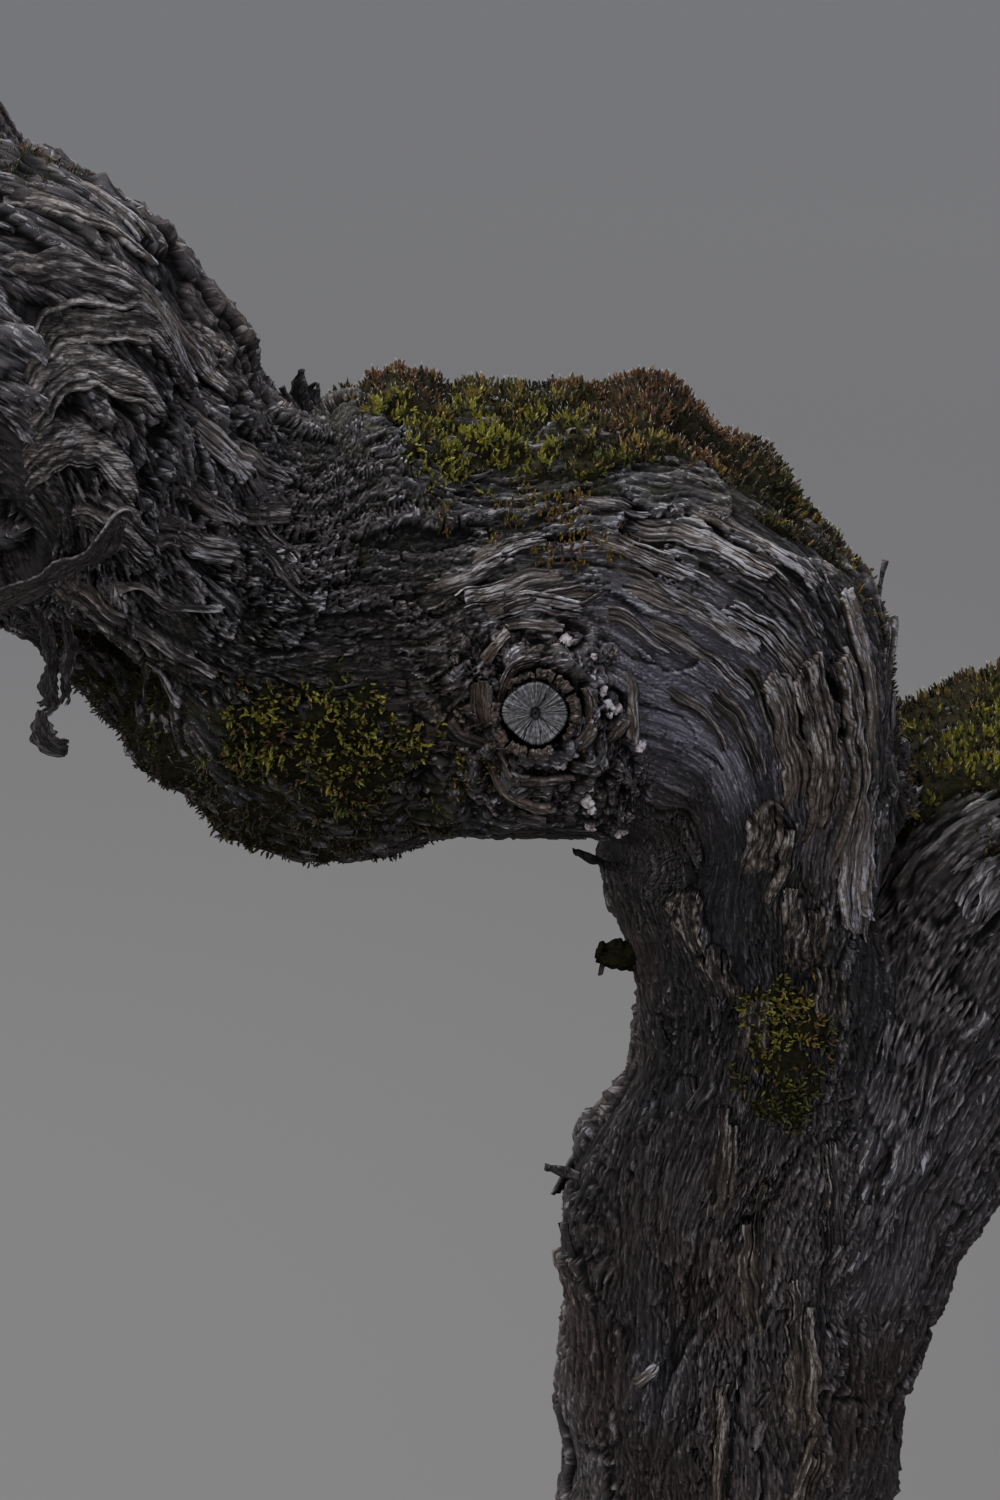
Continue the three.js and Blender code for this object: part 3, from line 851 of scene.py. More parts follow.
BARK = WoodFinish(
    "bark",
    dark=tint(0.03, 0.0262, 0.0265),
    light=tint(0.135, 0.115, 0.111),
    drift=tint(0.07, 0.05, 0.042),
    hollow=tint(0.0125, 0.0105, 0.0108),
    ridge=tint(0.3, 0.285, 0.298),
    warm=tint(0.285, 0.243, 0.205),
    bump=0.0016,
    roughness=0.86,
    specular=0.42,
)
DRY_BARK = WoodFinish(
    "dry bark",
    dark=tint(0.035, 0.029, 0.0265),
    light=tint(0.165, 0.139, 0.122),
    drift=tint(0.09, 0.063, 0.047),
    hollow=tint(0.014, 0.0115, 0.011),
    ridge=tint(0.36, 0.34, 0.34),
    warm=tint(0.32, 0.27, 0.22),
    bare=0.5,
    bump=0.0014,
    roughness=0.86,
    specular=0.42,
)
TAN_BARK = WoodFinish(
    "tan bark",
    dark=tint(0.044, 0.036, 0.031),
    light=tint(0.178, 0.144, 0.116),
    drift=tint(0.094, 0.071, 0.052),
    hollow=tint(0.011, 0.009, 0.0085),
    ridge=tint(0.38, 0.34, 0.3),
    bare=0.6,
    bump=0.0016,
    roughness=0.88,
)
CUT_WOOD = WoodFinish(
    "cut wood",
    dark=tint(0.08, 0.081, 0.087),
    light=tint(0.3, 0.302, 0.325),
    drift=tint(0.13, 0.122, 0.12),
    hollow=tint(0.014, 0.013, 0.013),
    ridge=tint(0.42, 0.425, 0.455),
    bare=0.35,
    fineness=1.6,
    bump=0.0004,
)
CANE = WoodFinish(
    "cane",
    dark=tint(0.05, 0.028, 0.018),
    light=tint(0.145, 0.084, 0.05),
    drift=tint(0.11, 0.078, 0.055),
    hollow=tint(0.02, 0.011, 0.008),
    ridge=tint(0.21, 0.16, 0.12),
    bare=0.3,
    fineness=1.5,
    bump=0.0002,
    roughness=0.62,
    specular=0.4,
)


class Shade(Enum):
    """The plain colours that moss shoots come in."""

    DEEP = tint(0.046, 0.05, 0.027)
    GREEN = tint(0.13, 0.141, 0.042)
    LIME = tint(0.305, 0.305, 0.07)
    OLIVE = tint(0.112, 0.1, 0.048)
    GOLD = tint(0.285, 0.205, 0.065)
    RUSSET = tint(0.172, 0.1, 0.056)
    UMBER = tint(0.066, 0.049, 0.039)
    HAIR = tint(0.55, 0.53, 0.47)


class Finishes:
    """The vine's materials, which share their groups."""

    def __init__(self) -> None:
        """Builds the shared groups and the materials."""
        self.fibres = fibre_group()
        self.shade_and_wear = shade_and_wear_group()
        self.bloom = bloom_group()
        self.bark = self.wood(BARK)
        self.dry_bark = self.wood(DRY_BARK)
        self.tan_bark = self.wood(TAN_BARK)
        self.cut_wood = self.wood(CUT_WOOD)
        self.cane = self.wood(CANE)
        self.moss_bed = self.earthy("moss bed", tint(0.012, 0.01, 0.006), tint(0.026, 0.025, 0.01))
        self.woolly = self.earthy("woolly bud", tint(0.27, 0.19, 0.175), tint(0.92, 0.86, 0.88))
        self.shoots = {shade: self.plain(f"moss {shade.name.lower()}", shade.value) for shade in Shade}
        self.floor = self.fading("pale floor", tint(0.165, 0.157, 0.148), tint(0.26, 0.248, 0.228))

    def start(self, name: str) -> tuple[Material, NodeKit, object]:
        """A new material, its kit and its shader's sockets."""
        material = bpy.data.materials.new(name)
        material.use_nodes = True
        tree = material.node_tree
        return material, NodeKit(tree), tree.nodes["Principled BSDF"].inputs

    def group(self, kit: NodeKit, tree: Tree, feeds: dict[str, object]) -> object:
        """A group's outputs, where it is placed in a material with its inputs fed."""
        return kit.add("ShaderNodeGroup", feeds, node_tree=tree).outputs

    def plain(self, name: str, colour: Colour) -> Material:
        """A material of one colour."""
        material, kit, shader = self.start(name)
        kit.feed(shader, {"Base Color": colour, "Roughness": 0.75, "Specular IOR Level": 0.25})
        return material

    def fading(self, name: str, near: Colour, far: Colour) -> Material:
        """A matt material with one colour at the origin and another from a few metres on."""
        material, kit, shader = self.start(name)
        away = kit.add("ShaderNodeVectorMath", {0: kit.place()}, operation="LENGTH").outputs["Value"]
        kit.feed(shader, {"Base Color": kit.mix(kit.spread(away, 0.3, 3.5), near, far), "Roughness": 0.9})
        return material

    def bump(self, kit: NodeKit, height: object, distance: float) -> Socket:
        """A height as a normal."""
        feeds = {"Strength": 0.9, "Distance": distance, "Height": height}
        return kit.add("ShaderNodeBump", feeds).outputs["Normal"]

    def earthy(self, name: str, dark: Colour, light: Colour) -> Material:
        """A crumbly or woolly stuff of two colours."""
        material, kit, shader = self.start(name)
        crumbs = kit.noise(kit.place(), 900.0, 4.0, 0.65)
        drift = kit.math("MULTIPLY", kit.noise(kit.place(), 225.0, 2.0), 0.3)
        mottle = kit.math("ADD", kit.math("MULTIPLY", crumbs, 0.7), drift)
        looks = {
            "Base Color": kit.mix(kit.spread(mottle, 0.36, 0.62), dark, light),
            "Roughness": 0.95,
            "Specular IOR Level": 0.15,
            "Normal": self.bump(kit, crumbs, 0.0009),
        }
        kit.feed(shader, looks)
        return material

    def wood(self, finish: WoodFinish) -> Material:
        """A wood or bark with painted shade in its hollows, painted highlight on greyed ridges, smooth bands
        and green bloom.
        """
        material, kit, shader = self.start(finish.name)
        place = kit.place()
        feeds = {"Grain": kit.read("fibre", "Vector"), "Crumbly": kit.read("crumbly")}
        feeds["Fineness"] = finish.fineness
        fibres = self.group(kit, self.fibres, feeds)
        streaks = fibres["Streaks"]
        painted = kit.math("MULTIPLY", kit.read("tone"), 0.6)
        tone = kit.math("ADD", painted, kit.math("MULTIPLY", streaks, 0.4))
        body = kit.mix(kit.spread(tone, 0.25, 0.75), finish.dark, finish.light)
        body = kit.mix(kit.spread(kit.noise(place, 22.0, 3.0), 0.42, 0.7), body, finish.drift)
        band = kit.mix(kit.spread(tone, 0.15, 0.85), tint(0.028, 0.023, 0.029), tint(0.26, 0.237, 0.28))
        body = kit.mix(kit.math("MULTIPLY", kit.read("smooth"), 0.85), body, band)
        bare = kit.math("ADD", finish.bare, kit.math("MULTIPLY", kit.read("silver"), 0.9))
        blotch = kit.spread(kit.noise(place, 75.0, 4.0), 0.47, 0.62)
        feeds = {
            "Colour": body,
            "Relief": kit.read("cavity"),
            "Edge": kit.read("crisp"),
            "Cracks": fibres["Cracks"],
            "Hollow": finish.hollow,
            "Ridge": kit.mix(blotch, finish.ridge, finish.warm or finish.ridge),
            "Reach": kit.math("MULTIPLY+", kit.spread(streaks, 0.25, 0.85), bare),
        }
        # Painted shade in the hollows, greyed painted highlight on the ridges, painted light and shade on
        # small edges.
        shaded_and_worn = self.group(kit, self.shade_and_wear, feeds)["Colour"]
        # A pale painted highlight on the streaks' crests where the wood is silvered, partly its silver
        # colour.
        crests = kit.spread(kit.read("cavity"), 0.42, 0.66)
        bright = kit.math("MULTIPLY", kit.spread(streaks, 0.45, 0.85), crests)
        shaded_and_worn = kit.mix(kit.math("MULTIPLY+", bright, kit.read("silver")), shaded_and_worn, tint(0.52, 0.5, 0.545))
        # Green bloom; where its mark lies under the moss crest it is painted shadow.
        feeds = {"Colour": shaded_and_worn, "Bloom": tint(0.05, 0.055, 0.018), "Where": kit.read("damp"), "Place": place}
        polish = kit.math("MULTIPLY", kit.read("smooth"), 0.22)
        looks = {
            "Base Color": self.group(kit, self.bloom, feeds)["Colour"],
            "Roughness": kit.math("SUBTRACT", finish.roughness, polish),
            "Specular IOR Level": finish.specular,
            "Normal": self.bump(kit, fibres["Height"], finish.bump),
        }
        kit.feed(shader, looks)
        return material


def linked(name: str, data: bpy.types.ID) -> Piece:
    """A new object in the scene."""
    piece = bpy.data.objects.new(name, data)
    bpy.context.scene.collection.objects.link(piece)
    return piece


def mesh_object(
    name: str,
    points: Grid,
    faces: tuple[Grid, ...],
    marks: dict[str, Grid] | None = None,
) -> Piece:
    """A smooth-shaded mesh object in the scene.

    Args:
        name: the piece's name.
        points: vertices in millimetres.
        faces: arrays of face corners, each of one count of corners.
        marks: attributes at the vertices, of one or three numbers each.

    Returns:
        The new object.
    """
    mesh = bpy.data.meshes.new(name)
    mesh.vertices.add(len(points))
    mesh.vertices.foreach_set("co", (points * MM).astype(np.float32).ravel())
    if faces:
        corners = np.concatenate([part.ravel() for part in faces])
        sizes = np.concatenate([np.full(len(part), part.shape[1]) for part in faces])
        mesh.loops.add(len(corners))
        mesh.loops.foreach_set("vertex_index", corners.astype(np.int32))
        mesh.polygons.add(len(sizes))
        mesh.polygons.foreach_set("loop_start", np.r_[0, np.cumsum(sizes)[:-1]].astype(np.int32))
        mesh.polygons.foreach_set("use_smooth", np.ones(len(sizes), bool))
    mesh.update(calc_edges=True)
    for label, values in (marks or {}).items():
        wide = values.ndim > 1
        kind = "FLOAT_VECTOR" if wide else "FLOAT"
        layer = mesh.attributes.new(label, kind, "POINT")
        layer.data.foreach_set("vector" if wide else "value", values.astype(np.float32).ravel())
    mesh.validate()
    return linked(name, mesh)


def slab(top: Grid, bottom: Grid, keep: Grid) -> tuple[Grid, Grid]:
    """A closed sheet between two grids of points.

    Args:
        top: the upper points, by row and column, with the rows' way turned to the columns' upward.
        bottom: the lower points.
        keep: which cells of the grid the sheet has.

    Returns:
        Its points and its quads.
    """
    rows, columns = top.shape[:2]
    number = np.arange(rows * columns).reshape(rows, columns)
    under = number + rows * columns
    cells = (slice(None, -1), slice(1, None))
    corners = [(cells[0], cells[0]), (cells[1], cells[0]), (cells[1], cells[1]), (cells[0], cells[1])]
    wide = np.pad(keep, 1)
    gaps = [wide[1:-1, :-2], wide[2:, 1:-1], wide[1:-1, 2:], wide[:-2, 1:-1]]
    quads = [
        np.stack([number[corner][keep] for corner in corners], -1),
        np.stack([under[corner][keep] for corner in corners[::-1]], -1),
    ]
    for k, gap in enumerate(gaps):
        edge = keep & ~gap
        first, second = corners[k], corners[(k + 1) % 4]
        walls = [under[first], under[second], number[second], number[first]]
        quads.append(np.stack([wall[edge] for wall in walls], -1))
    return np.vstack([top.reshape(-1, 3), bottom.reshape(-1, 3)]), np.vstack(quads)


def grid_faces(rows: int, columns: int) -> Grid:
    """Quads of a grid of points, outward for rows that run up and columns that run round."""
    row, column = np.meshgrid(np.arange(rows - 1), np.arange(columns), indexing="ij")
    a = row * columns + column
    b = row * columns + (column + 1) % columns
    return np.stack([a, a + columns, b + columns, b], -1).reshape(-1, 4)


def tube(points: Grid, start: Grid | None, end: Grid | None) -> tuple:
    """A grid of points that closes round, with its ends fanned shut.

    Args:
        points: the grid, by row and column.
        start: the hub of the fan at the first row, if it has one.
        end: the hub of the fan at the last row.

    Returns:
        All the points, and the faces: the quads, then the fans.
    """
    rows, columns = points.shape[:2]
    flat, faces = points.reshape(-1, 3), [grid_faces(rows, columns)]
    ring = np.arange(columns)
    following = (ring + 1) % columns
    for hub, row, sides in ((start, 0, (ring, following)), (end, rows - 1, (following, ring))):
        if hub is not None:
            corners = [np.full(columns, len(flat)), *(row * columns + side for side in sides)]
            faces.append(np.stack(corners, -1))
            flat = np.vstack([flat, hub])
    return flat, tuple(faces)


def joined(parts: list[tuple[Grid, Grid, dict[str, Grid]]]) -> tuple:
    """Small meshes made one: all their points, faces and marks."""
    starts = np.cumsum([0] + [len(part[0]) for part in parts])
    faces = np.vstack([part[1] + start for part, start in zip(parts, starts)])
    marks = {label: np.concatenate([part[2][label] for part in parts]) for label in parts[0][2]}
    return np.vstack([part[0] for part in parts]), (faces,), marks


class Vine:
    """The two stems with their bark."""

    def __init__(self, finishes: Finishes) -> None:
        """Builds both stems' surfaces.

        Args:
            finishes: the materials.
        """
        self.finishes = finishes
        self.main = Stem(MAIN_STATIONS, list(KNOTS.values()), True)
        self.right = Stem(RIGHT_STATIONS, [KNOTS["right_shoulder"], KNOTS["right_knot"]], False)
        bends = (0, 180, 200, 376, 398, 422, 434, 456, 484, 590, 614, 700)
        steps = (2.0, 2.0, 1.05, 1.05, 0.6, 0.6, 0.37, 0.37, 0.7, 0.7, 1.2, 1.2)
        fine = np.arange(0, self.main.length, 0.05)
        passed = np.cumsum(0.05 / np.interp(fine, bends, steps))
        main_rows = np.r_[0, np.interp(np.arange(1, int(passed[-1])), passed, fine)]
        right_rows = np.arange(0, self.right.length, 1.15)
        self.main_skin = Skin(self.main, main_rows, 512, MAIN_GRAIN, 11)
        self.right_skin = Skin(self.right, right_rows, 384, RIGHT_GRAIN, 29)

    def join_stems(self) -> None:
        """Fills the valley between the stems, softly low down and tightly at the fork."""
        for skin, other in ((self.main_skin, self.right_skin), (self.right_skin, self.main_skin)):
            rows, columns = other.s.shape
            tree = BVHTree.FromPolygons(
                (other.base.reshape(-1, 3)).tolist(), grid_faces(rows, columns).tolist()
            )
            z = skin.base[..., 2]
            near = (z > 150) & (z < 470) & (skin.base[..., 0] > -40) & (skin.base[..., 0] < 125)
            for row, column in np.argwhere(near):
                spot = Vector(skin.base[row, column])
                found, normal, _, distance = tree.find_nearest(spot)
                if found is None:
                    continue
                reach = 5 + 15 * float(smoothstep(400, 330, np.array(spot.z)))
                outside = distance if (spot - found).dot(normal) > 0 else 0.0
                if outside >= reach:
                    continue
                nearness = 1 - outside / reach
                own = skin.normal[row, column]
                toward = own * (1 - 0.5 * nearness) + np.array(normal) * 0.5 * nearness
                size = max(float((toward**2).sum()), 0.3)
                skin.extra[row, column] = toward / size * reach / 4 * nearness**2

    def grow(self) -> None:
        """Grows the bark and joins the stems."""
        self.main_skin.grow_bark(1.0)
        self.right_skin.grow_bark(0.36)
        self.join_stems()
        self.main_skin.finish()
        self.right_skin.finish()

    def piece(
        self, skin: Skin, name: str, s_from: float, s_to: float, nodes: tuple[str, ...]
    ) -> Piece:
        """One stretch of bark as a piece of its own.

        Args:
            skin: the unrolled surface.
            name: the piece's name.
            s_from: length at which it starts.
            s_to: length at which it ends.
            nodes: the solids it stands for.

        Returns:
            The piece.
        """
        low, high = np.searchsorted(skin.rows, (s_from, s_to))
        high = min(high + 1, len(skin.rows))
        points = skin.shell[low:high]
        marks = {label: values[low:high].ravel() for label, values in skin.marks().items()}
        marks["fibre"] = skin.fibre[low:high].reshape(-1, 3)
        start = points[0].mean(0) if low == 0 else None
        end = points[-1].mean(0) if high == len(skin.rows) else None
        hubs = np.array([row for row, hub in ((0, start), (len(points) - 1, end)) if hub is not None], int)
        for label, values in marks.items():
            marks[label] = np.concatenate([values, values[hubs * skin.columns]])
        return dressed(mesh_object(name, *tube(points, start, end), marks), self.finishes.bark, nodes)

    def dress(self) -> None:
        """Makes the bark's pieces."""
        main, right = self.main_skin, self.right_skin
        self.piece(main, "bark_foot", 0, 190, ())
        self.piece(main, "bark_trunk", 190, 345, ("trunk",))
        self.piece(main, "bark_rise", 345, 428, ("left_arm_rise",))
        self.piece(main, "bark_elbow", 428, 483, ("left_arm_elbow",))
        self.piece(main, "bark_reach", 483, 575, ("left_arm_reach", "left_arm_climb"))
        self.piece(main, "bark_head", 575, 1000, ("left_arm_head",))
        self.piece(right, "bark_right_arm", 0, 165, ("right_arm_rise",))
        self.piece(right, "bark_right_head", 165, 1000, ("right_arm_reach", "right_arm_head"))


MAIN_GRAIN = Grain(
    leans=(
        Patch(300, 40, 60, 60, -18),
        Patch(230, 60, 60, 70, -10),
        Patch(560, 60, 40, 60, 10),
        Patch(610, 90, 30, 60, -12),
    ),
    eyes=(
        Patch(480, 95, 15, 1), Patch(600, 118, 15, 1), Patch(403, 10, 8, 1, 0.8), Patch(300, 150, 8, 1, 0.7),
    ),
    burls=(
        Patch(484, 98, 19, 30), Patch(497, 112, 16, 20, 0.8), Patch(468, 118, 16, 16, 0.9),
        Patch(403, 12, 8, 12, 0.7), Patch(520, 260, 16, 24, 0.9),
    ),
    smooth=(
        Patch(446, 86, 22, 30),
        Patch(428, 84, 26, 22),
        Patch(405, 98, 34, 14, 0.9),
        Patch(462, 70, 12, 8, 0.8),
        Patch(269, 123, 12, 8, 0.6),
    ),
    # The patch at (431, 98) is a painted highlight.
    silver=(
        Patch(455, 60, 36, 24, 0.85), Patch(388, 45, 16, 16), Patch(605, 60, 50, 60, 0.3),
        Patch(269, 123, 10, 7), Patch(431, 98, 14, 6), Patch(515, 30, 20, 30, 0.25),
        Patch(545, 62, 26, 22, 0.3), Patch(478, 100, 24, 30, 0.6), Patch(582, 37, 24, 9, 0.8),
        Patch(608, 15, 10, 12, 0.4),
    ),
    crimped=(Patch(518, 35, 30, 30, 0.8),),
    # The patch at (480, 38) is painted shadow under the moss crest.
    damp=(
        Patch(530, 105, 40, 40, 0.9), Patch(500, 20, 70, 55, 0.7), Patch(350, 84, 20, 18, 0.8),
        Patch(415, -10, 30, 40, 0.8), Patch(395, 75, 25, 30, 0.6),
        Patch(480, 38, 36, 6, 1.0), Patch(532, 140, 44, 34, 1.0),
    ),
    crumbly=(Patch(590, 80, 80, 140, 0.2), Patch(530, 60, 40, 60, 0.7)),
    sheets=(
        Patch(596, 70, 40, 120), Patch(270, 90, 110, 300, 0.9), Patch(628, 60, 30, 300),
        Patch(110, 90, 130, 300, 0.75),
    ),
    soft=(
        Patch(392, 80, 36, 44), Patch(300, 90, 130, 300, 0.8), Patch(600, 80, 40, 100, 0.35),
        Patch(120, 90, 150, 300, 0.7),
    ),
    long=(Patch(270, 90, 150, 300), Patch(430, 60, 40, 50, 0.5)),
    # Tone shifts; (409, 97) is painted shadow behind the plates' tips, (431, 98) a painted highlight and
    # (481, 38) painted shadow under the moss crest.
    shades=(
        Patch(366, 92, 34, 46, -0.34), Patch(409, 97, 20, 16, -0.7), Patch(431, 98, 15, 6, 0.9),
        Patch(452, 68, 16, 16, 0.22), Patch(446, 44, 26, 20, -0.12), Patch(600, 60, 60, 90, 0.24),
        Patch(530, 136, 50, 44, -0.4), Patch(475, 98, 24, 30, 0.5), Patch(300, 128, 60, 30, -0.45),
        Patch(290, 62, 70, 34, 0.2), Patch(606, 62, 18, 34, 0.1), Patch(410, 62, 20, 24, 0.25),
        Patch(250, 90, 110, 300, 0.16), Patch(481, 38, 34, 6, -0.6),
    ),
    short=(Patch(596, 70, 76, 150, 0.5), Patch(520, 60, 34, 70, 0.3)),
    lips=(Patch(482, 94, 10.6, 1.9, 2.0), Patch(467, 95, 5.0, 1.2, 1.3), Patch(474, 78, 4.2, 1.1, 0.9)),
)
RIGHT_GRAIN = Grain(
    eyes=(Patch(192, 150, 9, 1, 0.9), Patch(250, 100, 8, 1, 0.8)),
    burls=(Patch(192, 150, 9, 14, 0.7), Patch(262, 95, 10, 16, 0.8)),
    silver=(Patch(120, 80, 40, 40, 0.6),),
    damp=(Patch(215, 165, 50, 60, 0.9),),
    long=(Patch(90, 90, 110, 300),),
    crumbly=(Patch(240, 120, 60, 120, 0.5),),
    sheets=(Patch(110, 90, 150, 300, 0.8),),
    soft=(Patch(100, 90, 120, 300, 0.8),),
    shades=(Patch(130, 95, 60, 60, 0.12), Patch(60, 90, 60, 90, 0.12), Patch(172, 124, 20, 28, 0.35)),
)


def wood_marks(
    cavity: Grid,
    tone: float | Grid,
    fibre: Grid,
    silver: float | Grid = 0.0,
    crisp: float | Grid = 0.55,
    crumbly: float | Grid = 0.7,
) -> dict[str, Grid]:
    """What a wood material reads at the points of a small piece.

    Args:
        cavity: how lit each point is painted, with shade in the hollows and highlight on ridges and tips.
        tone: how light it is. This and what follows may be given once, or for the upper points only.
        fibre: coordinates across and along the grain.
        silver: how grey it is.
        crisp: painted light and shade on small edges, from how far off its near neighbours each point stands.
        crumbly: how crackled it is.

    Returns:
        One value of each kind for each point.
    """
    marks = {"tone": tone, "silver": silver, "crisp": crisp, "crumbly": crumbly, "smooth": 0.0, "damp": 0.0}
    marks = {label: np.resize(values, len(cavity)) for label, values in marks.items()}
    return {**marks, "cavity": cavity, "fibre": np.resize(fibre, (len(cavity), 3))}


def used_only(points: Grid, quads: Grid, marks: dict[str, Grid]) -> tuple:
    """The points, faces and marks without the points that no face uses."""
    used = np.unique(quads)
    number = np.zeros(len(points), int)
    number[used] = np.arange(len(used))
    return points[used], number[quads], {label: values[used] for label, values in marks.items()}


def dressed(
    piece: Piece,
    material: Material,
    nodes: tuple[str, ...] = (),
) -> Piece:
    """A piece with its material, riding on the vine.

    Args:
        piece: the new object.
        material: its material, where it has none yet.
        nodes: the solids it stands for.

    Returns:
        The piece.
    """
    if not piece.data.materials:
        piece.data.materials.append(material)
    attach(piece, "root")
    if nodes:
        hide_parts(*nodes)
    LOG.info("%s: %d faces", piece.name, len(piece.data.polygons))
    return piece


@dataclass(frozen=True)
class Plate:
    """A lifted plate of bark: root and tip as length and angle, and its sizes in millimetres."""

    root: tuple[float, float]
    tip: tuple[float, float]
    width: float = 4.0
    lift: float = 1.6
    tone: float = 0.6
    silver: float = 0.4
    fray: float = 3.0
    thick: float = 0.8
    splinter: float = 1.6
    bow: float = 0.0
    rough: float = 0.0


def fold(
    radius: float, start: float, stop: float, width: float, lift: float, tone: float, silver: float
) -> Plate:
    """A curved crust of bark round the pruning cut.

    Args:
        radius: distance of its middle line from the cut's centre, in millimetres.
        start: where it starts round the cut, in degrees from its right side.
        stop: where it ends.
        width: its width.
        lift: how far its end stands off.
        tone: how light it is.
        silver: how grey it is.

    Returns:
        The plate.
    """
    ends = [
        (482 - radius * math.cos(math.radians(at)) / 1.1, 94 - 1.15 * radius * math.sin(math.radians(at)))
        for at in (start, stop)
    ]
    bow = radius * (1 - math.cos(math.radians(stop - start) / 2)) * math.copysign(1, start - stop)
    return Plate(*ends, width, 1.5 * lift, tone + 0.15, silver, 2.4, 1.5, 1.6, bow, 0.4)


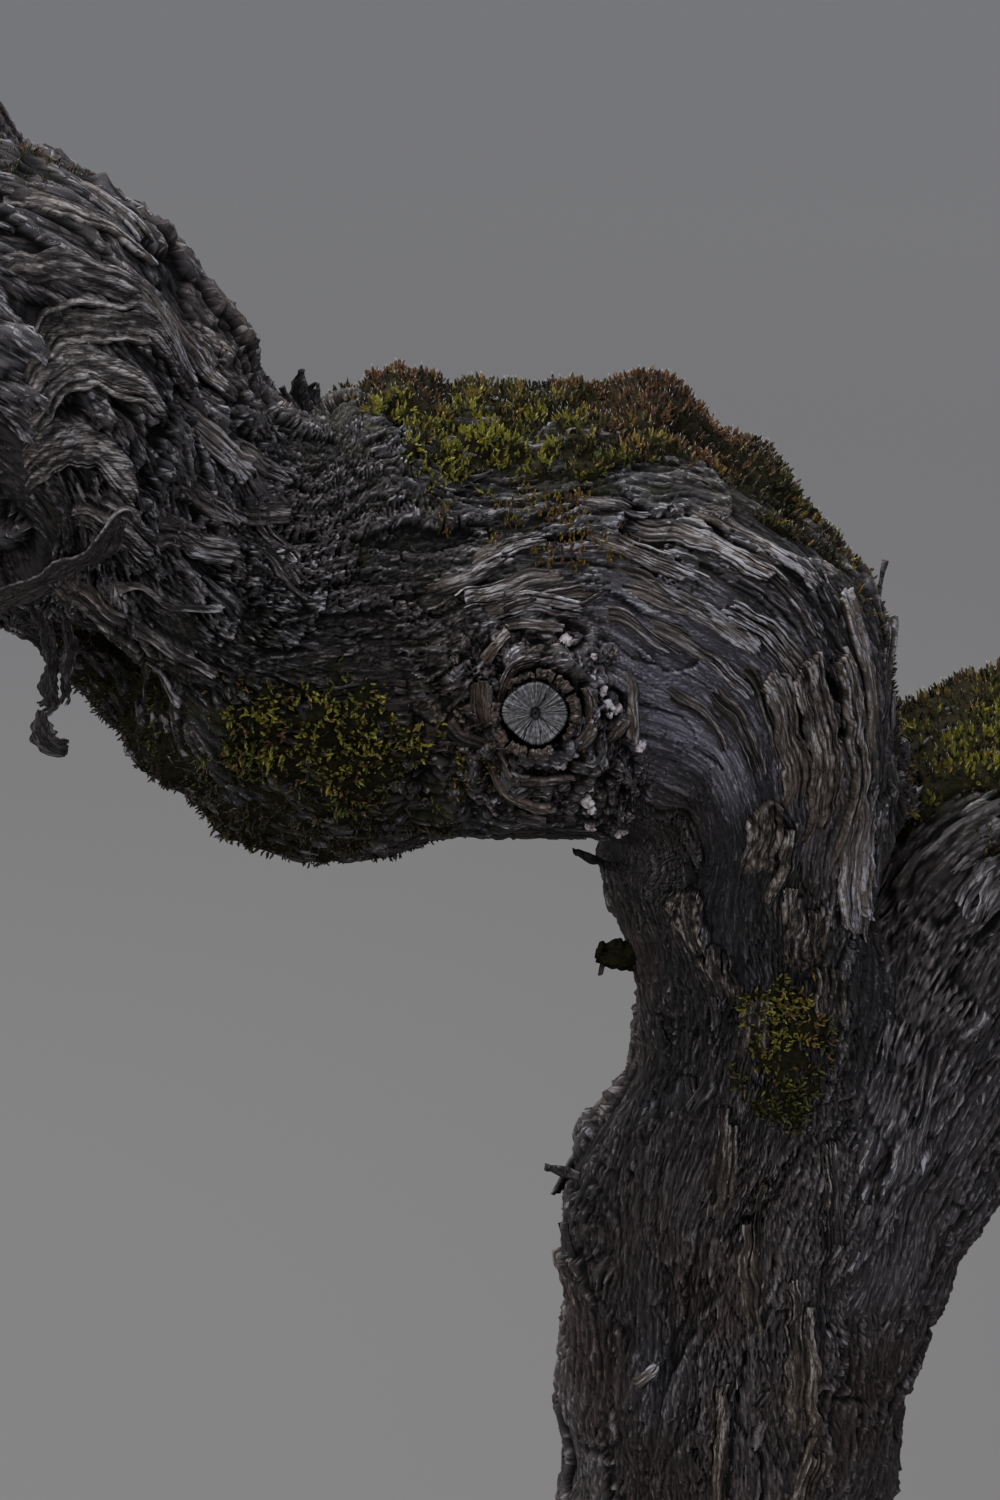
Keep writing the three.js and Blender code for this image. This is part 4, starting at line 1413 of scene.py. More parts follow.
class Plates:
    """Torn sheets of bark that lie on a stem and stand off it at their free end."""

    def __init__(self, skin: Skin, seed: int, cell: float = 1.0) -> None:
        """Starts with no plates.

        Args:
            skin: the bark they lie on.
            seed: fixes everything random about them.
            cell: how coarse their mesh is.
        """
        self.skin = skin
        self.cell = cell
        self.random = np.random.default_rng(seed)
        self.parts: list[tuple[Grid, Grid, dict[str, Grid]]] = []

    def add(self, plate: Plate) -> None:
        """Adds one plate: a fibrous sheet from its root to its splintered tip."""
        random, skin = self.random, self.skin
        start = np.array([plate.root[0], math.radians(plate.root[1])])
        way = np.array([plate.tip[0], math.radians(plate.tip[1])]) - start
        row, column = skin.nearest(start[0] + way[0] / 2, start[1] + way[1] / 2)
        scale = np.array([skin.along_mm[row, column], skin.round_mm[row, column]])
        way = way * scale
        length = float(np.hypot(*way))
        way = way / length
        side = np.array([-way[1], way[0]])
        cell = self.cell
        rows, columns = int(length / (0.4 * cell)) + 3, max(int(plate.width / (0.3 * cell)), 2) + 1
        run = np.linspace(-1.5, length, rows)[:, None]
        share = run / length
        u = np.linspace(-1, 1, columns)[None, :]
        lane = random.normal(0, 1, (1, columns)) * (1 - 0.45 * plate.rough)
        groups = np.cumsum(random.random(columns) < 0.3 * cell / plate.splinter)
        own, back = random.random((2, int(groups[-1]) + 1))[:, groups]
        drift = blurred(random.normal(0, 1, (rows, columns)), 4 / cell, 0.4) * 2.0
        if plate.rough:
            crumbs = 1.3 * blurred(random.normal(0, 1, (rows, columns)), 1.0 / cell, 0.6)
            drift = drift * (1 - 0.4 * plate.rough) + 1.1 * plate.rough * crumbs
        edges = 1 + 0.16 * blurred(random.normal(0, 1, (rows, 1)), 2.0 / cell, 0) - 0.2 * np.clip(share, 0, 1)
        across = 0.5 * plate.width * edges * u + 1.6 * blurred(random.normal(0, 1, (rows, 1)), 5.0 / cell, 0)
        across = across + 4 * plate.bow * share * (1 - share)
        line = start + (way * run[..., None] + side * across[..., None]) / scale
        spots = skin.sample(skin.bed, line[..., 0], line[..., 1])
        normal = unit(skin.sample(skin.normal, line[..., 0], line[..., 1]))
        lift = plate.lift * np.clip(share, 0, 1) ** 1.7 * (1 + 0.25 * u * random.normal() + own - 0.5)
        rise = -1.0 + 1.7 * smoothstep(-0.1, 0.25, share) + lift - 0.3 * np.abs(u) ** 4
        rise = rise + 0.12 * lane + 0.12 * drift + 0.5 * plate.thick * (own - 0.5)
        top = spots + normal * rise[..., None]
        deep = plate.thick * (1 - 0.35 * smoothstep(0.7, 1, share)) + 0.1 * np.abs(lane)
        bottom = top - normal * deep[..., None]
        torn = plate.fray * 0.75 * back + 0.5 * random.random(columns) + 0.16 * plate.width * u[0] ** 2
        slit = np.r_[False, groups[1:] != groups[:-1]] & (columns > 6)
        opens = 1 - 0.7 * random.random(columns)
        keep = (run[1:] < length - torn[None, :-1]) & ~(slit[None, :-1] & (share[1:] > opens[None, :-1]))
        points, quads = slab(top, bottom, keep)
        lit = 0.33 + 0.09 * plate.rough + 0.2 * smoothstep(0, 0.6, share) + 0.12 * lane + 0.13 * drift
        lit = lit + 0.16 * (own - 0.5)
        lit = lit + 0.16 * smoothstep(0.8, 1, share) + 0.12 * plate.silver
        lit = np.r_[np.clip(lit, 0, 1).ravel(), np.full(lit.size, 0.3)]
        tone = np.clip(plate.tone + 0.08 * lane + 0.1 * drift + 0.3 * (own - 0.5), 0, 1)
        crisp = np.clip(0.48 + 0.13 * lane + 0.16 * drift, 0.1, 0.9)
        silver = plate.silver * smoothstep(0.2, 0.8, share + 0.2 * drift)
        flat = 0 * across
        fibre = np.stack([across, run + flat, random.uniform(0, 400) + flat], -1)
        marks = wood_marks(lit, tone, fibre, silver, crisp, 0.35 + 0.2 * plate.rough)
        self.parts.append(used_only(points, quads, marks))

    def strew(self, count: int, length: tuple[float, float], width: tuple[float, float], lift: float) -> None:
        """Adds small plates all over the stem, along its grain.

        Args:
            count: how many are tried.
            length: shortest and longest.
            width: narrowest and widest.
            lift: the usual lift of a free end.
        """
        random, skin = self.random, self.skin
        for _ in range(count):
            s = random.uniform(skin.rows[0] + 4, skin.rows[-1] - 16)
            angle = random.uniform(0, TURN)
            row, column = skin.nearest(np.array(s), np.array(angle))
            if covered(skin.grain.smooth, s, angle) > 0.25 or skin.along_mm[row, column] < 0.6:
                continue
            turn = float(skin.heading(np.array(s), np.array(angle))) + random.normal(0, 0.06)
            long = random.uniform(*length) * (1 if random.random() < 0.5 else -1)
            tip_s = s + long * math.cos(turn) / skin.along_mm[row, column]
            tip_a = angle + long * math.sin(turn) / skin.round_mm[row, column]
            if not skin.rows[0] + 2 < tip_s < skin.rows[-1] - 6:
                continue
            tone = float(np.clip(skin.tone[row, column] + random.normal(0, 0.12), 0, 0.8))
            ends = (s, math.degrees(angle)), (tip_s, math.degrees(tip_a))
            if width[1] < 2 and random.random() < 0.8 * covered(skin.grain.long, s, angle):
                continue
            high = lift * (0.2 + random.random() ** 2)
            silver = 0.5 * float(covered(skin.grain.silver, s, angle))
            self.add(Plate(*ends, random.uniform(*width), high, tone, silver, 3.0, 0.5))

    def build(self, name: str, finish: Material) -> Piece:
        """Makes the plates one piece."""
        points, faces, marks = joined(self.parts)
        points[:, 2] = np.maximum(points[:, 2], 0)
        return dressed(mesh_object(name, points, faces, marks), finish)


@dataclass(frozen=True)
class Ribbon:
    """A loose strip of bark: its middle line, the way its width lies, and its sizes in millimetres."""

    name: str
    path: tuple[Point, ...]
    across: tuple[Point, ...]
    widths: tuple[float, ...]
    thick: float
    ragged: float
    tone: float
    cupped: float = 0.0
    dark: bool = False

    def build(self, finish: Material, seed: int) -> Piece:
        """Makes the strip.

        Args:
            finish: its material.
            seed: fixes its ragged edges.

        Returns:
            The piece.
        """
        random = np.random.default_rng(seed)
        path = np.array(self.path, float)
        run = np.r_[0, np.cumsum(np.linalg.norm(np.diff(path, axis=0), axis=1))]
        rows = int(run[-1] / 0.35) + 2
        columns = int(max(self.widths) / 0.3) + 2
        along = np.linspace(0, run[-1], rows)
        middle = np.stack([np.interp(along, run, path[:, k]) for k in range(3)], -1)
        lie = np.array(self.across, float)
        lie = lie if len(lie) == len(path) else np.repeat(lie, len(path), 0)
        width_way = unit(np.stack([np.interp(along, run, lie[:, k]) for k in range(3)], -1))
        soft = 3.0
        middle = blurred(np.pad(middle, ((9, 9), (0, 0)), "reflect", reflect_type="odd"), soft, 0)[9:-9]
        tangent = unit(np.gradient(middle, axis=0))
        normal = unit(np.cross(tangent, width_way))
        side = np.cross(normal, tangent)
        u = np.linspace(-1, 1, columns)
        edge = 1 + self.ragged * blurred(random.normal(0, 1, (rows, 1)), 1.2, 0)
        width = np.interp(along, np.linspace(0, run[-1], len(self.widths)), self.widths)[:, None]
        offset = 0.5 * width * edge * u[None, :]
        wave = Waves(seed, 9, 2, 12)(along[:, None], u[None, :] * 1.6)
        rise = self.cupped * (u[None, :] ** 2) + 0.5 * wave
        rise = rise + 0.1 * blurred(random.normal(0, 1, (rows, columns)), 2.0, 0)
        top = middle[:, None] + side[:, None] * offset[..., None] + normal[:, None] * rise[..., None]
        deep = self.thick * (1 - 0.5 * np.abs(u[None, :]) ** 3) * (0.8 + 0.4 * random.random((1, columns)))
        bottom = top - normal[:, None] * deep[..., None]
        keep = np.ones((rows - 1, columns - 1), bool)
        torn = random.random(columns - 1) ** 1.5 * 5 * self.ragged * 4
        for k in range(columns - 1):
            keep[rows - 1 - int(torn[k]) :, k] = False
        points, quads = slab(top, bottom, keep)
        flat = 0 * offset
        tone = np.clip(self.tone + 0.18 * random.normal(0, 1, (1, columns)) + flat, 0, 1)
        lit = 0.36 + 0.3 * self.tone + 0.16 * blurred(random.normal(0, 1, (rows, columns)), 3.0, 0)
        lit = lit + 0.3 * np.abs(u[None, :]) ** 6
        fibre = np.stack([offset, along[:, None] + flat, seed + flat], -1)
        marks = wood_marks(np.r_[lit.ravel(), np.full(lit.size, 0.45)], tone, fibre)
        return dressed(mesh_object(self.name, points, (quads,), marks), finish)


@dataclass
class PruningCut:
    """The old round cut on the elbow, with its cracked end grain and the bark round it."""

    at: Point = (-39.0, -59.5, 439.5)
    facing: Point = (-0.05, -0.96, 0.27)
    radius: float = 6.1
    rings: int = 40
    spokes: int = 320
    cracks: tuple[tuple[float, float, float, float], ...] = (
        (62, 1.3, 4.6, 0.13),
        (244, 1.6, 5.9, 0.15),
        (318, 1.2, 4.0, 0.12),
        (170, 3.6, 5.8, 0.09),
        (285, 3.6, 5.9, 0.1),
        (20, 4.4, 5.9, 0.1),
    )

    def axes(self) -> tuple[Grid, Grid, Grid]:
        """The cut's facing way, its right side and its upper side."""
        out = unit(np.array(self.facing, float))
        side = unit(np.cross(np.array([0.0, 0.0, 1.0]), out))
        return out, side, np.cross(out, side)

    def outline(self, angle: Grid) -> Grid:
        """The cut's radius at the angles, a little out of round."""
        swell = 0.03 * np.cos(2 * angle + 0.9) + 0.035 * np.cos(4 * angle) - 0.02 * np.cos(3 * angle + 0.3)
        return self.radius * (1 + swell)

    def disc(self, finish: Material) -> Piece:
        """The grey end grain: fine rays, faint rings, cracks and a hollow pith."""
        random = np.random.default_rng(5)
        out, side, up = self.axes()
        share = np.linspace(0.03, 1, self.rings) ** 0.8
        angle = np.arange(self.spokes) / self.spokes * TURN
        rim = self.outline(angle)
        r = share[:, None] * rim[None, :]
        height = 0.5 * (r / self.radius) ** 2
        rays = Waves(3, 400, 84, 90)(r * 0 + 3, angle[None, :])
        rays = rays + 0.7 * blurred(random.normal(0, 1, r.shape), 4, 0.5)
        height = height + 0.1 * rays * share[:, None] ** 0.5
        height = height + 0.05 * np.sin(r * 6 + 0.6 * np.cos(angle * 3))
        depth = np.zeros(r.shape)
        for at, start, stop, wide in self.cracks:
            bend = 0.05 * np.sin(r * 1.7 + at)
            away = np.abs((angle[None, :] - math.radians(at) - bend + math.pi) % TURN - math.pi) * r
            inside = smoothstep(start - 0.5, start + 0.5, r) * smoothstep(stop + 0.4, stop - 0.6, r)
            depth = np.maximum(depth, inside * np.clip(1 - away / wide, 0, 1))
        shift = np.hypot(r * np.cos(angle) - 0.1, 0.75 * (r * np.sin(angle) + 0.1))
        pith = 0.6 * smoothstep(0.3, 0.0, np.abs(shift - 0.85)) + 0.3 * smoothstep(0.9, 0.5, shift)
        height = height - 0.7 * depth - 1.2 * pith
        edge = smoothstep(0.95, 1.0, share)[:, None]
        height = height - 0.7 * edge
        flat = np.array(self.at) + out * 3.3
        points = flat + side * (r * np.cos(angle))[..., None] + up * (r * np.sin(angle))[..., None]
        points = points + out * height[..., None]
        wall = [points[-1] - out * drop for drop in (0.9, 3.0, 7.0)]
        points = np.concatenate([points, np.array(wall)])
        lit = np.clip(0.56 + 0.16 * rays - 0.5 * depth - 0.5 * pith - 0.3 * edge, 0, 1)
        tone = np.clip(0.5 + 0.16 * rays + 0.22 * np.cos(angle[None, :] + 1.9) * share[:, None], 0, 1)
        fibre = np.stack([0 * r + angle[None, :] * 7, r, 0 * r], -1).reshape(-1, 3)
        walls = 3 * self.spokes
        lit = np.r_[lit.ravel(), np.full(walls, 0.3), 0, 0]
        tone = np.r_[tone.ravel(), np.zeros(walls + 2)]
        marks = wood_marks(lit, tone, np.vstack([fibre, np.zeros((walls + 2, 3))]), 0.2, 0.5)
        hubs = points[0].mean(0) - out * 0.1, points[-1].mean(0)
        piece = mesh_object("pruning_cut", *tube(points, *hubs), marks)
        return dressed(piece, finish, ("pruned_stub",))

    def rim(self, finish: Material) -> Piece:
        """The broken ring of dead bark round the cut."""
        random = np.random.default_rng(8)
        out, side, up = self.axes()
        blocks = ((166, 192, 6.9, 8.6, 1.2), (206, 228, 7.0, 9.2, 0.8), (231, 259, 6.9, 9.0, 2.2))
        blocks += ((262, 297, 6.9, 8.8, 2.4), (92, 140, 6.8, 7.9, 0.6), (318, 345, 7.0, 8.4, 0.2))
        blocks += ((-13, 27, 6.6, 8.8, -0.2), (33, 60, 6.6, 8.6, -0.4), (63, 90, 6.7, 8.6, 0.1))
        parts = []
        for low, high, inner, outer, proud in blocks:
            angle = np.radians(np.linspace(low, high, int((high - low) * 0.45) + 2))
            share = np.linspace(0, 1, 7)
            shape = (len(angle), 7)
            grit = blurred(random.normal(0, 1, shape), 0.8, 0.4)
            reach = inner + (outer - inner) * share[None, :]
            reach = reach + 0.25 * blurred(random.normal(0, 1, (shape[0], 1)), 0.7, 0)
            rise = 2.4 + proud + 0.35 * grit - 0.5 * np.abs(share[None, :] * 2 - 1) ** 3
            spot = side * (reach * np.cos(angle[:, None]))[..., None]
            spot = spot + up * (reach * np.sin(angle[:, None]))[..., None]
            top = np.array(self.at) + spot + out * rise[..., None]
            bottom = np.array(self.at) + spot - out * 3.0
            mesh = slab(top[::-1], bottom[::-1], np.ones((shape[0] - 1, 6), bool))
            lit = np.clip(0.5 + 0.2 * grit[::-1], 0, 1).ravel()
            fibre = np.stack([angle[::-1, None] * 8 + 0 * reach, reach, 0 * reach + low], -1)
            lit = np.r_[lit, np.full(lit.size, 0.3)]
            parts.append((*mesh, wood_marks(lit, random.uniform(0.1, 0.45), fibre, 0.15)))
        return dressed(mesh_object("cut_bark_rim", *joined(parts)), finish)


def lump(random: Random, size: float, rough: float) -> tuple[Grid, Grid]:
    """A small uneven ball.

    Args:
        random: fixes its shape.
        size: its radius.
        rough: how uneven it is, as a share of the radius.

    Returns:
        Its points round the origin and its triangles.
    """
    mesh = bmesh.new()
    bmesh.ops.create_icosphere(mesh, subdivisions=2, radius=1)
    points = np.array([vertex.co for vertex in mesh.verts])
    faces = np.array([[vertex.index for vertex in face.verts] for face in mesh.faces])
    mesh.free()
    ways = unit(random.normal(0, 1, (7, 3)))
    swell = sum(np.cos(4 * (points @ way) + k) for k, way in enumerate(ways)) / 7
    points = points * (1 + rough * swell + 0.4 * rough * random.normal(0, 1, len(points)))[:, None]
    return points * size, faces


class Scatter:
    """Stands small meshes on points by a node tree, and makes each crowd one plain mesh."""

    def __init__(self) -> None:
        """Builds a tree that stands a kit of small meshes on the points and makes them one mesh."""
        inputs = {"Geometry": "Geometry", "Kit": "Collection", "Finish": "Material", "Seed": "Int"}
        kit, given, out = new_tree("GeometryNodeTree", "stand on points", inputs, {"Geometry": "Geometry"})
        feeds = {"Collection": given["Kit"], "Separate Children": True, "Reset Children": True}
        parts = kit.add("GeometryNodeCollectionInfo", feeds).outputs[0]
        grows, size = (
            kit.add("GeometryNodeInputNamedAttribute", {"Name": name}, data_type=kind).outputs["Attribute"]
            for name, kind in (("grows", "FLOAT_VECTOR"), ("size", "FLOAT"))
        )
        pick = kit.add("FunctionNodeRandomValue", {4: 0, 5: 99, "Seed": given["Seed"]}, data_type="INT")
        spin = kit.add("FunctionNodeRandomValue", {2: 0.0, 3: TURN, "Seed": given["Seed"]}, data_type="FLOAT")
        about = kit.add("ShaderNodeCombineXYZ", {"Z": spin.outputs[1]}).outputs[0]
        spun = kit.add("FunctionNodeEulerToRotation", {0: about}).outputs[0]
        aligned = kit.add("FunctionNodeAlignRotationToVector", {"Rotation": spun, "Vector": grows}, axis="Z")
        feeds = {
            "Points": given["Geometry"],
            "Instance": parts,
            "Pick Instance": True,
            "Instance Index": pick.outputs[2],
            "Rotation": aligned.outputs[0],
            "Scale": size,
        }
        stand = kit.add("GeometryNodeInstanceOnPoints", feeds).outputs[0]
        real = kit.add("GeometryNodeRealizeInstances", {0: stand}).outputs[0]
        paint = kit.add("GeometryNodeSetMaterial", {"Geometry": real, "Material": given["Finish"]})
        kit.feed(out, {0: paint.outputs[0]})
        self.tree = kit.tree

    def stand(
        self,
        name: str,
        spots: Grid,
        kit: bpy.types.Collection,
        finish: Material,
        slot: str,
    ) -> None:
        """Args:
            name: the piece's name.
            spots: place, way of growing and size of each, in millimetres.
            kit: the small meshes to choose from.
            finish: the piece's material.
            slot: not used.
        """
        marks = {"grows": spots[:, 3:6], "size": spots[:, 6]}
        points = mesh_object(name + "_points", spots[:, :3], (), marks)
        modifier = points.modifiers.new("stand", "NODES")
        modifier.node_group = self.tree
        values = {"Kit": kit, "Finish": finish, "Seed": 9}
        for item in self.tree.interface.items_tree:
            if item.in_out == "INPUT" and item.name in values:
                modifier[item.identifier] = values[item.name]
        whole = points.evaluated_get(bpy.context.evaluated_depsgraph_get())
        mesh = bpy.data.meshes.new_from_object(whole)
        points.modifiers.remove(modifier)
        bpy.data.objects.remove(points)
        mesh.name = name
        for label in ("grows", "size"):
            if label in mesh.attributes:
                mesh.attributes.remove(mesh.attributes[label])
        dressed(linked(name, mesh), finish)

    def kit(self, name: str, meshes: list[Piece]) -> bpy.types.Collection:
        """A collection of small meshes kept out of the scene."""
        collection = bpy.data.collections.new(name)
        for mesh in meshes:
            bpy.context.scene.collection.objects.unlink(mesh)
            collection.objects.link(mesh)
        return collection

    def clear(self, kit: bpy.types.Collection) -> None:
        """Removes a kit that isn't needed any more."""
        for mesh in list(kit.objects):
            bpy.data.objects.remove(mesh)
        bpy.data.collections.remove(kit)


def burl_flakes(skin: Skin, scatter: Scatter, finish: Material) -> None:
    """Strews small broken flakes of bark over the burls."""
    random = np.random.default_rng(35)
    tries, cut_with_rim = 60000, 7.6
    s = random.uniform(skin.rows[0], skin.rows[-1], tries)
    angle = random.uniform(0, TURN, tries)
    there = covered(skin.grain.burls, s, angle)
    area = skin.area(*skin.nearest(s, angle))
    spot = skin.sample(skin.shell, s, angle)
    from_cut = np.linalg.norm(spot - np.array(PruningCut().at), axis=-1)
    keep = (there > 0.25) & (from_cut > cut_with_rim)
    keep = keep & (random.random(tries) < 0.5 * there * area / area.max())
    s, angle, spot = s[keep], angle[keep], spot[keep]
    normal = unit(skin.sample(skin.normal, s, angle))
    out = unit(normal + 0.55 * random.normal(0, 1, normal.shape))
    size = 0.45 + 1.7 * random.random(len(s)) ** 3
    kit = scatter.kit("flakes", [flake(random) for _ in range(6)])
    scatter.stand("burl_flakes", np.column_stack([spot - normal * 0.15, out, size]), kit, finish, "bark")
    scatter.clear(kit)
    LOG.info("%d flakes on the burls", len(s))


def flake(random: Random) -> Piece:
    """One broken flake of bark, about two millimetres across."""
    size = 7
    u, v = np.meshgrid(np.linspace(-1, 1, size), np.linspace(-1, 1, size), indexing="ij")
    wide, deep = random.uniform(0.7, 1.2), random.uniform(0.5, 0.9)
    grit = random.normal(0, 1, (size, size))
    tilt = random.uniform(0.1, 0.5) * u**2 - 0.3 * v
    place = [u * wide + 0.1 * grit, v * deep + 0.08 * np.roll(grit, 2, 0), 0.45 + tilt + 0.1 * grit]
    top = np.stack(place, -1)
    bottom = top - np.array([0, 0, 0.4])
    middle = np.hypot(u, v)[:-1, :-1] + random.normal(0, 0.16, (size - 1, size - 1))
    keep = middle < 1.12
    points, quads = slab(top, bottom, keep)
    tone = random.uniform(0.1, 1.0)
    lit = np.r_[np.clip(0.6 + 0.24 * grit, 0, 1).ravel(), np.full(size * size, 0.25)]
    fibre = np.stack([u * 2, v * 2, 0 * u + random.uniform(0, 90)], -1)
    marks = wood_marks(lit, tone, fibre, 0.1, np.clip(0.5 + 0.2 * grit, 0.1, 0.9), 0.9)
    points, quads, marks = used_only(points, quads, marks)
    return mesh_object("flake", points, (quads,), marks)


WOOLLY_SPOTS = (
    (-32.6, -52.6, 452.3, 1.2),
    (-25.8, -53.5, 441.8, 1.1),
    (-24.7, -53.4, 439.3, 0.9),
    (-22.9, -52.6, 438.0, 0.9),
    (-24.2, -53.4, 436.6, 0.7),
    (-33.6, -56.7, 428.4, 1.4),
    (-31.8, -56.0, 429.4, 0.9),
    (-28.7, -49.1, 417.2, 1.3),
    (-27.9, -48.0, 415.0, 1.0),
    (-27.4, -42.9, 411.3, 1.1),
    (-22.5, -37.2, 407.6, 1.4),
    (-18.2, -50, 429.2, 1.1),
    (-27.0, -54.4, 448.6, 0.6),
)


def woolly_buds(skin: Skin, finish: Material) -> Piece:
    """The pale woolly dormant buds round the pruning cut, each a huddle of small balls."""
    random = np.random.default_rng(21)
    parts = []
    shell = skin.shell.reshape(-1, 3)
    for x, y, z, size in WOOLLY_SPOTS:
        near = int(((shell - np.array([x, y, z])) ** 2).sum(1).argmin())
        spot = shell[near]
        out = skin.normal.reshape(-1, 3)[near]
        for k in range(5):
            radius = size * (1.05, 0.75, 0.6, 0.55, 0.5)[k] * random.uniform(0.75, 1.05)
            grid, faces = lump(random, radius, 0.45)
            away = random.normal(0, 0.6 * size, 3) * (k > 0)
            parts.append((grid + spot + out * 0.35 * radius + away, faces, {}))
    return dressed(mesh_object("woolly_buds", *joined(parts)), finish)


@dataclass(frozen=True)
class Cushion:
    """One cushion of moss on a stem: its middle and reaches, its sizes and its colours.

    Each colour has a place on the stem where it is strongest, or none where it is everywhere.
    """

    name: str
    node: str
    on_right: bool
    s: float
    reach_s: float
    angle: float
    reach_angle: float
    thick: float
    per_mm2: float
    length: float
    colours: tuple[tuple[Shade, float, Patch | None], ...]
    upward: float = 0.5
    splay: float = 0.32
    lumps: float = 0.35
    crowns: tuple[Patch, ...] = ()
    mounds: float = 0.6


def all_over(**shares: float) -> tuple[tuple[Shade, float, None], ...]:
    """Colours that grow all over a cushion, with their shares."""
    return tuple((Shade[name], share, None) for name, share in shares.items())


CUSHIONS = (
    Cushion(
        "crest", "moss_crest", False, 475, 43, -6, 42, 0.9, 1.9, 2.6,
        (
            (Shade.LIME, 0.86, Patch(496, 24, 36, 28)),
            (Shade.GREEN, 0.66, Patch(494, 24, 46, 34)),
            *all_over(OLIVE=0.55, DEEP=0.56),
            (Shade.RUSSET, 1.05, Patch(498, -14, 11, 22)),
            (Shade.RUSSET, 1.05, Patch(453, -6, 14, 34)),
            *all_over(UMBER=0.45),
            (Shade.UMBER, 0.6, Patch(480, -30, 60, 24)),
            (Shade.UMBER, 0.95, Patch(450, -2, 14, 22)),
            (Shade.UMBER, 0.85, Patch(498, -6, 13, 20)),
            (Shade.GOLD, 0.5, Patch(480, 10, 60, 24)),
        ),
        upward=0.35, splay=0.42, mounds=1.1,
        crowns=(Patch(500, -14, 8, 22, 6.8), Patch(454, -12, 5.5, 24, 6.5), Patch(442, -8, 4, 22, 3.0)),
    ),
    Cushion(
        "shoulder", "moss_shoulder", False, 418, 34, -14, 34, 0.3, 0.75, 2.2,
        (
            *all_over(OLIVE=0.5, UMBER=0.75),
            (Shade.RUSSET, 0.55, Patch(425, 0, 25, 30)),
            (Shade.GREEN, 0.35, Patch(400, 0, 20, 20)),
            *all_over(GOLD=0.4, DEEP=0.45),
        ),
        lumps=0.6, mounds=0.3,
    ),
    Cushion(
        "flank", "moss_flank", False, 526, 22, 104, 17, 1.5, 2.5, 2.5,
        (
            *all_over(GREEN=0.8),
            (Shade.LIME, 1.0, Patch(527, 100, 24, 18)),
            *all_over(DEEP=0.46, OLIVE=0.66, RUSSET=0.62, GOLD=0.52),
        ),
        upward=0.35, splay=0.5, lumps=0.65,
    ),
    Cushion(
        "belly", "moss_belly", False, 532, 32, 156, 36, 0.5, 1.25, 2.1,
        (*all_over(UMBER=0.78, DEEP=0.74, OLIVE=0.5), (Shade.GREEN, 0.66, Patch(560, 128, 30, 18))),
        upward=0.05, splay=0.8, lumps=0.5,
        crowns=(Patch(545, 148, 4, 14, 1.2), Patch(531, 156, 4, 14, 1.6), Patch(519, 152, 3, 14, 0.8)),
    ),
    Cushion(
        "trunk", "moss_trunk", False, 356, 18, 80, 21, 0.9, 1.5, 2.4,
        (
            (Shade.GOLD, 0.8, Patch(362, 74, 16, 18)),
            *all_over(GREEN=0.62),
            (Shade.LIME, 0.92, Patch(360, 86, 18, 20)),
            *all_over(OLIVE=0.6, RUSSET=0.42, UMBER=0.5),
        ),
        upward=0.5, splay=0.45, lumps=0.9,
    ),
    Cushion(
        "right_arm", "moss_right_arm", True, 222, 48, 168, 58, 2.2, 1.0, 3.2,
        (
            *all_over(GREEN=0.55),
            (Shade.LIME, 0.74, Patch(212, 150, 44, 40)),
            *all_over(GOLD=0.45, OLIVE=0.6, DEEP=0.45),
            (Shade.RUSSET, 0.5, Patch(220, 200, 50, 30)),
            *all_over(UMBER=0.5),
        ),
        lumps=0.45,
    ),
    Cushion(
        "gold_rows", "", False, 479, 17, 50, 11, 0.0, 1.5, 2.2,
        all_over(GOLD=0.8, RUSSET=0.7, LIME=0.42, UMBER=0.6), upward=0.7, splay=0.35, lumps=1.2,
    ),
    Cushion(
        "under_cut", "", False, 498, 6, 113, 7, 0.0, 0.5, 2.0,
        all_over(LIME=0.6, GREEN=0.6, GOLD=0.6), upward=0.6, splay=0.45, lumps=0.7,
    ),
    Cushion(
        "hem", "", False, 560, 17, 120, 15, 0.0, 0.35, 1.9,
        all_over(GREEN=0.5, DEEP=0.6, GOLD=0.5, UMBER=0.6), upward=0.3, splay=0.5, lumps=0.9,
    ),
    Cushion(
        "flank_edge", "", False, 516, 32, 104, 22, 0.0, 0.14, 1.9,
        all_over(GREEN=0.5, GOLD=0.5, UMBER=0.6), upward=0.3, splay=0.5, lumps=0.9,
    ),
    Cushion(
        "back", "", False, 500, 60, 300, 26, 0.0, 0.45, 2.0,
        all_over(OLIVE=0.6, DEEP=0.6, UMBER=0.6), lumps=0.9,
    ),
    Cushion(
        "trunk_back", "", False, 300, 60, 245, 40, 0.0, 0.4, 2.0,
        all_over(OLIVE=0.6, GREEN=0.5, GOLD=0.4), lumps=1.1,
    ),
    Cushion(
        "left_top", "", False, 628, 20, 5, 22, 0.0, 0.4, 1.9,
        all_over(OLIVE=0.6, RUSSET=0.5, DEEP=0.5), lumps=1.0,
    ),
)


